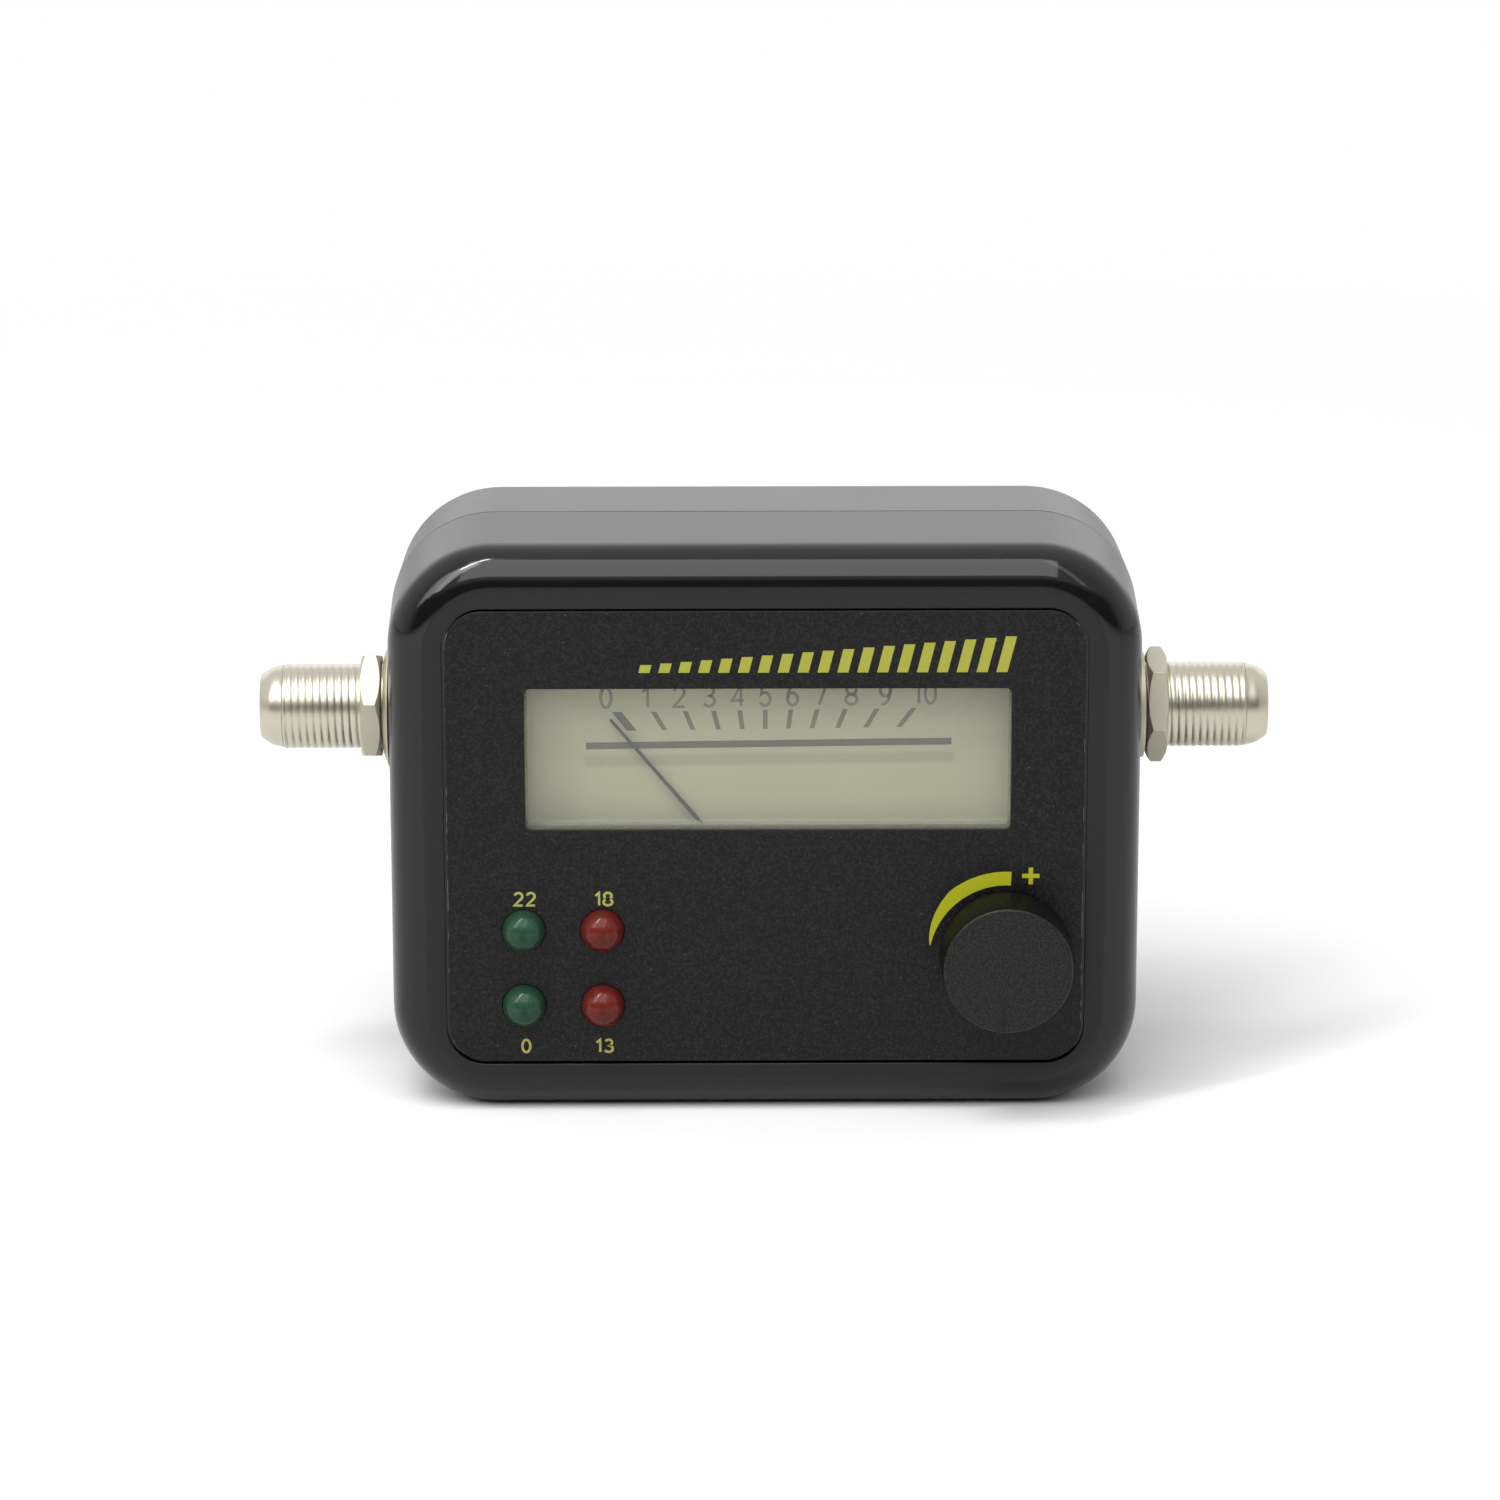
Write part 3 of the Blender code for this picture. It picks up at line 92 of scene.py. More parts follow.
class CaseSettings(bpy.types.PropertyGroup):
    """Moulded case."""
    corner_radius: length("Corner radius", "Radius of the case's four corners", 11.5 * mm)
    front_edge: length("Front edge", "Radius of the fillet round the front", 4.4 * mm)
    rear_edge: length("Rear edge", "Radius of the fillet round the back", 2.5 * mm)
    wall: length("Wall", "Thickness of the side walls", 2.0 * mm)
    seam_gap: length("Seam gap", "Width of the joint line between the two halves", 0.01 * mm)
    seam_edge: length("Seam edge", "Rounding of both edges at the seam", 0.12 * mm)
    draft: angle_of("Draft", "Lean of the front half's walls away from the seam", 1.0)
    rear_draft: angle_of("Rear draft", "Lean of the rear half's walls away from the seam", 1.5)
    tint: colour("Colour", "Colour of the moulded plastic", (0.005, 0.005, 0.0049))


class LabelSettings(bpy.types.PropertyGroup):
    """Printed film on the front."""
    corner_radius: length("Corner radius", "Radius of the film's corners", 4.0 * mm)
    edge: length("Edge rounding", "Rounding of the film's cut edge", 0.1 * mm)
    bars: IntProperty(name="Bars", description="Signal-level bars over the window", default=19)
    film: colour("Film", "Colour of the film", (0.0042, 0.0042, 0.0040))
    ink: colour("Ink", "Colour of the gain mark and the plus sign", (0.385, 0.395, 0.009))
    bar_ink: colour("Bar ink", "Colour of the level bars", (0.36, 0.365, 0.05))
    caption_ink: colour("Caption ink", "Colour of the numbers at the lamps", (0.37, 0.37, 0.10))


class DialSettings(bpy.types.PropertyGroup):
    """Scale plate, its print and the clear cover."""
    card: colour("Card", "Colour of the scale plate", (0.452, 0.445, 0.308))
    ink: colour("Ink", "Colour of the numbers", (0.25, 0.24, 0.175))
    mark_ink: colour("Mark ink", "Colour of the marks", (0.155, 0.145, 0.095))
    # The first mark in this colour carries the needle's painted shadow beside it
    bar: colour("Bar", "Colour of the bar and the first mark", (0.085, 0.088, 0.066))
    marks: IntProperty(name="Marks", description="Spaces between the marks", default=10)
    sweep: angle_of("Sweep", "Angle from the first mark to the last", 74.6)


class LampSettings(bpy.types.PropertyGroup):
    """Signal lamps."""
    green: colour("Green", "Colour of the green lamps", (0.019, 0.060, 0.036))
    red: colour("Red", "Colour of the red lamps", (0.122, 0.016, 0.011))


class KnobSettings(bpy.types.PropertyGroup):
    """Gain knob."""
    rim: length("Rim", "Rounding of the knob's face", 0.35 * mm)
    index_width: length("Index width", "Width of the index groove", 0.40 * mm)
    tint: colour("Colour", "Colour of the knob", (0.0082, 0.0082, 0.0077))


class SocketSettings(bpy.types.PropertyGroup):
    """Threaded sockets at the sides."""
    pitch: length("Thread pitch", "Distance between two ridges", 25.4 / 32 * mm)
    thread_depth: length("Thread depth", "Height of the ridges", 0.09 * mm)
    plating: colour("Plating", "Colour of the nickel plate", (0.535, 0.505, 0.412))


class StageSettings(bpy.types.PropertyGroup):
    """Camera, floor and lights."""
    softbox_power: wattage("Softbox", "Power of the large light", 13.2)
    strip_power: wattage("Strip", "Power of the narrow light", 1.8)
    backlight_power: wattage("Backlight", "Power of the light behind", 1.62)
    surround: share("Surround", "Level of the room's light", 0.75)
    floor: colour("Floor", "Colour of the floor", (0.50, 0.50, 0.50))


# Finishes

class Value:
    """A number, colour or vector that one socket gives."""

    def __init__(self, nodes, socket):
        self.nodes = nodes
        self.socket = socket

    def __add__(self, other):
        return self.nodes.maths("ADD", self, other)

    def __sub__(self, other):
        return self.nodes.maths("SUBTRACT", self, other)

    def __mul__(self, other):
        return self.nodes.maths("MULTIPLY", self, other)

    def __truediv__(self, other):
        return self.nodes.maths("DIVIDE", self, other)

    def __rsub__(self, other):
        return self.nodes.maths("SUBTRACT", other, self)

    __radd__ = __add__
    __rmul__ = __mul__

    def below(self, edge, softness):
        """1 where this is under an edge, falling to 0 over a softness."""
        return self.nodes.clamped((edge - self) / softness + 0.5)

    def above(self, edge, softness):
        """1 where this is over an edge, rising from 0 over a softness."""
        return self.nodes.clamped((self - edge) / softness + 0.5)


class Nodes:
    """A node tree and ways to add to it."""

    def __init__(self, tree):
        self.tree = tree

    def node(self, kind, settings=(), output=0, **sockets):
        """Add a node: its settings first, then the values or links of its sockets."""
        made = self.tree.nodes.new(kind)
        for name, setting in dict(settings).items():
            setattr(made, name, setting)
        for name, given in sockets.items():
            key = int(name[1:]) if name[1:].isdigit() else name.replace("_", " ")
            target = made.inputs[key]
            if isinstance(given, Value):
                self.tree.links.new(given.socket, target)
            else:
                target.default_value = given
        return Value(self, made.outputs[output])

    def maths(self, operation, first, second):
        return self.node("ShaderNodeMath", {"operation": operation}, _0=first, _1=second)

    def clamped(self, value):
        return self.node("ShaderNodeClamp", Value=value)

    def place(self):
        """Place on the piece in its own space, in metres."""
        return self.node("ShaderNodeTexCoord", output="Object")

    def split(self, vector):
        """The three numbers of a vector."""
        first = self.node("ShaderNodeSeparateXYZ", Vector=vector)
        outputs = first.socket.node.outputs
        return [Value(self, outputs[name]) for name in ("X", "Y", "Z")]

    def noise(self, size, detail=2.0, roughness=0.5):
        """Random cloud whose blots are about a size across."""
        return self.node(
            "ShaderNodeTexNoise", Vector=self.place(), Scale=1.0 / size, Detail=detail,
            Roughness=roughness,
        )

    def cells(self, size):
        """Distance to the nearest of scattered points about a size apart."""
        return self.node("ShaderNodeTexVoronoi", Vector=self.place(), Scale=1.0 / size)

    def blended(self, factor, first, second):
        """Colour between two colours."""
        return self.node(
            "ShaderNodeMix", {"data_type": "RGBA"}, output=2, _0=factor, _6=rgba(first),
            _7=rgba(second),
        )

    def light_ray(self, *kinds):
        """1 on rays of any of the given kinds."""
        path = self.node("ShaderNodeLightPath")
        outputs = path.socket.node.outputs
        total = Value(self, outputs[kinds[0]])
        for kind in kinds[1:]:
            total = total + Value(self, outputs[kind])
        return self.clamped(total)


class Finish(Nodes):
    """A material made of nodes round one Principled shader."""

    def __init__(self, name, uniform=()):
        self.material = bpy.data.materials.new(name)
        self.material.use_nodes = True
        super().__init__(self.material.node_tree)
        self.shader = self.tree.nodes["Principled BSDF"]
        for name, number in dict(uniform).items():
            self.shader.inputs[name].default_value = number

    def vary(self, name, value):
        """Link what varies over the surface to one of the shader's sockets."""
        self.tree.links.new(value.socket, self.shader.inputs[name])

    def colour(self, value):
        self.vary("Base Color", value)

    def mottle(self, pattern, tint, low, high):
        """Colour that runs from one share of a tint to another along a pattern."""
        self.colour(self.blended(pattern, scaled(tint, low), scaled(tint, high)))

    def roughness(self, value):
        self.vary("Roughness", value)

    def bump(self, height, distance):
        """Tilt the surface by a height that runs from 0 to 1 over a distance."""
        self.vary("Normal", self.node("ShaderNodeBump", Height=height, Distance=distance, Strength=1.0))


def rgba(given):
    if isinstance(given, Value):
        return given
    return (*given[:3], 1.0)


def scaled(tint, factor):
    return tuple(min(1.0, part * factor) for part in tint)


def case_plastic(tint):
    """Black moulding: matt spark-eroded front, polished fillet, satin walls."""
    finish = Finish("case_plastic", {"IOR": 1.42})
    _, y, _ = finish.split(finish.place())
    front = y.below(front_low.y + 0.05 * mm, 0.06 * mm)
    walls = y.above(front_low.y + 2.8 * mm, 2.4 * mm)
    grain = finish.noise(0.22 * mm, 3.0, 0.6)
    cloud = finish.noise(6.0 * mm)
    finish.mottle(cloud, tint, 0.85, 1.2)
    finish.roughness(0.06 + front * 0.45 + walls * 0.23 + cloud * 0.03)
    finish.bump(grain * (front * 0.7 + walls * 0.22 + 0.03), 0.02 * mm)
    return finish.material


def label_film(tint):
    """Matt black film with a fine pebble and a few pale specks."""
    finish = Finish("label_film", {"IOR": 1.335})
    specks = finish.cells(1.2 * mm).below(0.06, 0.03)
    grain = finish.noise(0.24 * mm)
    cloud = finish.noise(9.0 * mm)
    base = finish.blended(grain.above(0.55, 0.22), scaled(tint, 0.1), scaled(tint, 2.7))
    finish.colour(finish.blended(specks * 0.4, base, (0.12, 0.12, 0.12)))
    finish.roughness(0.44 + cloud * 0.06)
    finish.bump(grain, 0.006 * mm)
    return finish.material


def film_edge():
    """Cut edge of the film, dark, with pale places along its left and right sides that are partly wear
    and partly a painted highlight.
    """
    finish = Finish("film_edge", {"IOR": 1.38})
    grain = finish.noise(0.3 * mm)
    x, _, _ = finish.split(finish.place())
    upright = finish.maths("ABSOLUTE", x, 0.0).above(label_high.x - mm, 0.5 * mm)
    # Pale flecks along the upright edges: partly wear, partly a painted highlight where the rounded edge
    # catches the light
    wear_and_highlight = finish.noise(1.6 * mm, 3.0).above(0.56, 0.08) * upright
    finish.colour(finish.blended(wear_and_highlight * 0.8, (0.012, 0.012, 0.012), (0.17, 0.17, 0.165)))
    finish.roughness(0.5 + grain * 0.1)
    return finish.material


def print_ink(name, tint):
    """Screen-printed ink, thinner here and there."""
    finish = Finish(name, {"Specular IOR Level": 0.25})
    grain = finish.noise(0.25 * mm, 3.0)
    finish.mottle(grain, tint, 0.9, 1.1)
    finish.roughness(0.42 + grain * 0.12)
    finish.bump(grain, 0.004 * mm)
    return finish.material


def dial_card(tint):
    """Enamelled scale plate, painted paler towards its top as painted light, with a faint painted shadow
    of the bar under the bar.
    """
    finish = Finish("dial_card", {"Specular IOR Level": 0.2})
    x, _, z = finish.split(finish.place())
    rise = z - x * scale_tilt - panel_z
    # Painted shadow of the bar: a faint dark band just under it, along the bar's length
    under = rise.above(6.9 * mm, 0.5 * mm) * rise.below(8.1 * mm, 0.5 * mm)
    ends = x.above(-19.8 * mm, 0.6 * mm) * x.below(20.6 * mm, 0.6 * mm)
    grain = finish.noise(0.5 * mm, 3.0)
    cloud = finish.noise(14.0 * mm, 1.0)
    card = finish.blended(cloud, scaled(tint, 0.95), scaled(tint, 1.06))
    # Painted light: the card is painted paler towards its top, to lift the shade that the window's top
    # edge casts there
    card = finish.blended(rise.above(12.5 * mm, 6.0 * mm), card, scaled(tint, 1.4))
    # shade is the painted shadow under the bar, plus a little grain
    shade = under * ends * 0.36 + grain * 0.05
    finish.colour(finish.blended(shade, card, scaled(tint, 0.45)))
    finish.roughness(0.6 + grain * 0.1)
    finish.bump(grain, 0.001 * mm)
    return finish.material


def clear_cover():
    """Clear moulded window."""
    finish = Finish("clear_cover", {"Base Color": (0.80, 0.82, 0.74, 1.0), "IOR": 1.49, "Alpha": 0.07})
    cloud = finish.noise(5.0 * mm)
    finish.roughness(0.06 + cloud * 0.05)
    return finish.material


def frosted_wall():
    """Side walls of the window, which look milky from the front."""
    finish = Finish("frosted_wall", {"IOR": 1.30, "Alpha": 0.32})
    cloud = finish.noise(3.0 * mm)
    finish.colour(finish.blended(cloud, (0.27, 0.27, 0.19), (0.32, 0.32, 0.23)))
    finish.roughness(0.3 + cloud * 0.1)
    return finish.material


def lamp_resin(name, tint, centre_x, centre_z):
    """Tinted resin with painted shade round the rim, and dark over the chip in the middle."""
    finish = Finish(name, {"IOR": 1.52, "Specular IOR Level": 0.17})
    x, _, z = finish.split(finish.place())
    across = x - centre_x
    up = z - centre_z
    radius = finish.maths("POWER", across * across + up * up, 0.5)
    # Painted shade: the resin's colour falls off towards the dome's rim
    rim = radius.above(2.05 * mm, 0.9 * mm)
    spot = radius.below(0.45 * mm, 0.5 * mm)
    swirl = finish.noise(0.9 * mm)
    body = finish.blended(swirl, scaled(tint, 0.8), scaled(tint, 1.3))
    # Painted shade at the rim, and the chip seen through the resin in the middle
    rim_shade_and_chip = finish.clamped(rim * 0.6 + spot * 0.4)
    finish.colour(finish.blended(rim_shade_and_chip, body, scaled(tint, 0.15)))
    finish.roughness(0.06 + swirl * 0.04)
    return finish.material


def knob_plastic(name, tint, ior):
    """Satin black moulding with a fine grain."""
    finish = Finish(name, {"IOR": ior})
    grain = finish.noise(0.18 * mm, 3.0)
    cloud = finish.noise(3.0 * mm)
    finish.mottle(grain.above(0.55, 0.25), tint, 0.2, 2.6)
    finish.roughness(0.44 + cloud * 0.08)
    finish.bump(grain, 0.008 * mm)
    return finish.material


def metal(name, tint, roughness, relief=0.003 * mm):
    """Turned, stamped or plated metal with fine marks and slight stains."""
    finish = Finish(name, {"Metallic": 1.0})
    grain = finish.noise(0.4 * mm, 4.0, 0.6)
    cloud = finish.noise(4.0 * mm, 3.0)
    finish.mottle(cloud, tint, 0.9, 1.06)
    finish.roughness(roughness + cloud * 0.08 + grain * 0.06)
    finish.bump(grain, relief)
    return finish.material


def moulding(name, tint, roughness):
    """Plain moulded or coated piece."""
    finish = Finish(name)
    grain = finish.noise(0.3 * mm, 3.0)
    cloud = finish.noise(5.0 * mm)
    finish.mottle(cloud, tint, 0.85, 1.15)
    finish.roughness(roughness + grain * 0.1)
    finish.bump(grain, 0.006 * mm)
    return finish.material


def winding(tint):
    """Enamelled wire laid side by side along the coil."""
    finish = Finish("coil_winding", {"Metallic": 1.0})
    turns = finish.node(
        "ShaderNodeTexWave", {"bands_direction": "Z"}, Vector=finish.place(), Scale=1.0 / (0.7 * mm),
        Distortion=0.6,
    )
    finish.mottle(turns, tint, 0.6, 1.1)
    finish.roughness(0.3 + turns * 0.1)
    finish.bump(turns, 0.03 * mm)
    return finish.material


def laminate(tint):
    """Glass-fibre board whose weave shows through the lacquer."""
    finish = Finish("glass_laminate")
    x, _, z = finish.split(finish.place())
    thread = 0.11 * mm
    warp = finish.maths("SINE", x / thread, 0.0)
    weft = finish.maths("SINE", z / thread, 0.0)
    weave = finish.clamped(warp * weft * 0.5 + 0.5)
    finish.mottle(weave, tint, 0.8, 1.2)
    finish.roughness(0.35 + weave * 0.1)
    finish.bump(weave, 0.01 * mm)
    return finish.material


# Shapes. A point is (x, depth, z): depth runs back from the case's front face and z up
# from the middle of the label.

# Edges that bend by more than this stay sharp
sharp_angle = radians(35)
# How far a cutting tool stands past what it cuts
overrun = 1.0 * mm


def place(x, depth, z):
    return Vector((x, front_low.y + depth, panel_z + z))


def panel_box(node):
    """A node's lowest and highest corners as (x, depth, z)."""
    shift = Vector((0, front_low.y, panel_z))
    low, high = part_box(node)
    return low - shift, high - shift


def panel_middle(node):
    """The middle of a node as (x, z)."""
    low, high = panel_box(node)
    return (low.x + high.x) / 2, (low.z + high.z) / 2


def side_reach(node):
    """How far out to the side a node starts and ends."""
    low, high = panel_box(node)
    return sorted((abs(low.x), abs(high.x)))


def link(name, data):
    """Put new data in the scene as an object."""
    item = bpy.data.objects.new(name, data)
    bpy.context.scene.collection.objects.link(item)
    return item


def meshed(shape, name):
    """Turn a bmesh into a mesh."""
    mesh = bpy.data.meshes.new(name)
    shape.to_mesh(mesh)
    shape.free()
    return mesh


def mesh_object(shape, name):
    """Face a bmesh outwards, and shade it smooth apart from its sharp edges."""
    bmesh.ops.recalc_face_normals(shape, faces=shape.faces)
    mesh = meshed(shape, name)
    mesh.shade_smooth()
    mesh.set_sharp_from_angle(angle=sharp_angle)
    return link(name, mesh)


def skin(shape, rings, closed=False):
    """Add faces between rows of points, and caps unless the row of rings is closed."""
    loops = [[shape.verts.new(place(*point)) for point in ring] for ring in rings]
    pairs = list(zip(loops, loops[1:]))
    if closed:
        pairs.append((loops[-1], loops[0]))
    for first, second in pairs:
        for step, corner in enumerate(first):
            following = (step + 1) % len(first)
            shape.faces.new((corner, first[following], second[following], second[step]))
    if not closed:
        shape.faces.new(loops[0])
        shape.faces.new(loops[-1])


def loft(rings, name="loft", closed=False):
    """One piece through a row of rings."""
    shape = bmesh.new()
    skin(shape, rings, closed)
    return mesh_object(shape, name)


def pieces(rings_list, name):
    """Several separate lofts in one object."""
    shape = bmesh.new()
    for rings in rings_list:
        skin(shape, rings)
    return mesh_object(shape, name)


def merged(items, name):
    """Put several objects' meshes in one object."""
    shape = bmesh.new()
    for item in items:
        shape.from_mesh(item.data)
        bpy.data.objects.remove(item, do_unlink=True)
    return link(name, meshed(shape, name))


def rounded_outline(left, right, bottom, top, radius, steps=6):
    """Points of a rectangle with round corners, anticlockwise from its top right."""
    centres = (
        (right - radius, top - radius),
        (left + radius, top - radius),
        (left + radius, bottom + radius),
        (right - radius, bottom + radius),
    )
    points = []
    for corner, (x, z) in enumerate(centres):
        for step in range(steps + 1):
            angle = (corner + step / steps) * pi / 2
            points.append((x + radius * cos(angle), z + radius * sin(angle)))
    return points


def slab(outline, near, far):
    """Rings of a flat piece with an outline of (x, z) points."""
    return [[(x, depth, z) for x, z in outline] for depth in (near, far)]


def box_rings(left, right, near, far, bottom, top):
    return slab([(right, top), (left, top), (left, bottom), (right, bottom)], near, far)


def circle(steps):
    """Cosines and sines of even steps round a circle."""
    return [(cos(2 * pi * step / steps), sin(2 * pi * step / steps)) for step in range(steps)]


def turn_rings(profile, x, z, steps=64):
    """Rings of a piece turned about the depth axis, from (depth, radius) points."""
    return [
        [(x + radius * across, depth, z + radius * up) for across, up in circle(steps)]
        for depth, radius in profile
    ]


def side_rings(profile, side=1, steps=64):
    """Rings of a piece turned about the line of the sockets, from (x, radius) points."""
    depth, z = socket_line()
    return [
        [(side * x, depth + radius * back, z + radius * up) for back, up in circle(steps)]
        for x, radius in profile
    ]


def quarter(steps):
    """Angles of even steps over a quarter turn."""
    return [step / steps * pi / 2 for step in range(steps + 1)]


def rounding(radius, steps):
    """Steps round an edge from its wall to its face, as (depth behind the face, inset)."""
    return [(radius * (1 - sin(turn)), radius * (1 - cos(turn))) for turn in quarter(steps)]


def softened(profile, radius, steps=3):
    """Round the inner corners of an open profile with short arcs."""
    points = [Vector(point) for point in profile]
    result = [points[0]]
    for before, corner, after in zip(points, points[1:], points[2:]):
        reach = min(radius, (corner - before).length / 2.2, (after - corner).length / 2.2)
        start = corner + (before - corner).normalized() * reach
        end = corner + (after - corner).normalized() * reach
        for step in range(steps + 1):
            done = step / steps
            result.append(start * (1 - done) ** 2 + corner * 2 * done * (1 - done) + end * done ** 2)
    result.append(points[-1])
    return [tuple(point) for point in result]


def carve(target, rings, operation="DIFFERENCE"):
    """Cut or trim an object with a lofted tool."""
    tool = loft(rings, "tool")
    modifier = target.modifiers.new("carve", "BOOLEAN")
    modifier.operation = operation
    modifier.solver = "EXACT"
    modifier.object = tool
    bpy.context.view_layer.update()
    result = bpy.data.meshes.new_from_object(
        target.evaluated_get(bpy.context.evaluated_depsgraph_get())
    )
    target.modifiers.clear()
    spent = target.data
    target.data = result
    bpy.data.meshes.remove(spent)
    bpy.data.objects.remove(tool, do_unlink=True)
    result.set_sharp_from_angle(angle=sharp_angle)


def drill(target, places, radius, far, near=-overrun):
    """Cut a round hole at each place, from one depth to another."""
    for x, z in places:
        carve(target, turn_rings([(near, radius), (far, radius)], x, z))


def open_panel(target, lamp_radius, back):
    """Cut the window and the holes of the lamps and the knob through the front."""
    carve(target, slab(window_outline(), -overrun, back))
    drill(target, lamp_places(), lamp_radius, back)
    drill(target, [knob_place()], shaft_hole, back)


def keep(item, name, material, body="case", nodes=()):
    """Name a piece, finish it, and make it ride on its body in place of its nodes."""
    item.name = name
    item.data.name = name
    if not item.data.materials:
        item.data.materials.append(material)
    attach(item, body)
    if nodes:
        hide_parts(*nodes)


def two_finishes(item, face, side, level):
    """One finish on what faces forwards or back by a level or more, another on the rest."""
    item.data.materials.clear()
    item.data.materials.append(face)
    item.data.materials.append(side)
    for polygon in item.data.polygons:
        polygon.material_index = 1 if abs(polygon.normal.y) < level else 0


def dress(material, *nodes):
    """Give CAD nodes that stay a finish."""
    for node in nodes:
        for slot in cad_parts[node].material_slots:
            slot.material = material


# Case

seam_depth = rear_low.y - front_low.y
case_depth = rear_high.y - front_low.y
case_top = front_high.z - panel_z
case_bottom = front_low.z - panel_z
case_half = (front_high.x - front_low.x) / 2
label_half = (label_high.x - label_low.x) / 2
label_top = label_high.z - panel_z
corner_steps = 20
edge_steps = 12
rounding_steps = 3
front_wall = 1.8 * mm
rear_wall = 2.0 * mm
recess_depth = 0.65 * mm
recess_margin = 0.3 * mm
recess_edge = 0.12 * mm
seam_shift = 0.12 * mm
panel_back = 4.0 * mm
label_back = 2.0 * mm
window_corner = 0.6 * mm
window_low = Vector((-26.1 * mm, 0, 0.9 * mm))
window_high = Vector((26.7 * mm, 0, 16.9 * mm))
shaft_hole = 3.6 * mm
lamp_hole = 2.65 * mm
lamp_collar = 3.65 * mm
socket_notch = 5.0 * mm
head_bore = 3.1 * mm


def case_ring(case, depth, inset):
    """The case's outer outline at a depth, moved inwards; three sides lean by the draft."""
    taper = abs(depth - seam_depth) * tan(case.draft if depth < seam_depth else case.rear_draft)
    side = case_half - taper - inset
    outline = rounded_outline(
        -side, side, case_bottom + inset, case_top - taper - inset, case.corner_radius - inset,
        corner_steps,
    )
    return [(x, depth, z) for x, z in outline]


def fillet(case, face, inset, radius, way, steps):
    """Rings of a rounded edge, from the wall to the face. Way is 1 where the wall is behind it."""
    return [
        case_ring(case, face + way * behind, inset + inward) for behind, inward in rounding(radius, steps)
    ]


def label_ring(label, depth, margin):
    outline = rounded_outline(
        -label_half - margin, label_half + margin, -label_top - margin, label_top + margin,
        label.corner_radius + margin, corner_steps,
    )
    return [(x, depth, z) for x, z in outline]


def window_outline(gap=0.0, radius=window_corner):
    """The window's outline, or one that lies inside it by a gap."""
    return rounded_outline(
        window_low.x + gap, window_high.x - gap, window_low.z + gap, window_high.z - gap, radius,
    )


def boss_places():
    return [panel_middle(f"case_screw_{number}") for number in (1, 2, 3, 4)]


def lamp_nodes():
    """Lamp nodes and their colour's name."""
    return [
        (f"signal_lamp_{row}_{hue}", hue) for row in ("upper", "lower") for hue in ("green", "red")
    ]


def lamp_places():
    return [panel_middle(node) for node, _ in lamp_nodes()]


def knob_place():
    return panel_middle("gain_knob")


def socket_line():
    """Depth and height of the line through both sockets."""
    return seam_depth, panel_middle("connector_nut_left")[1]


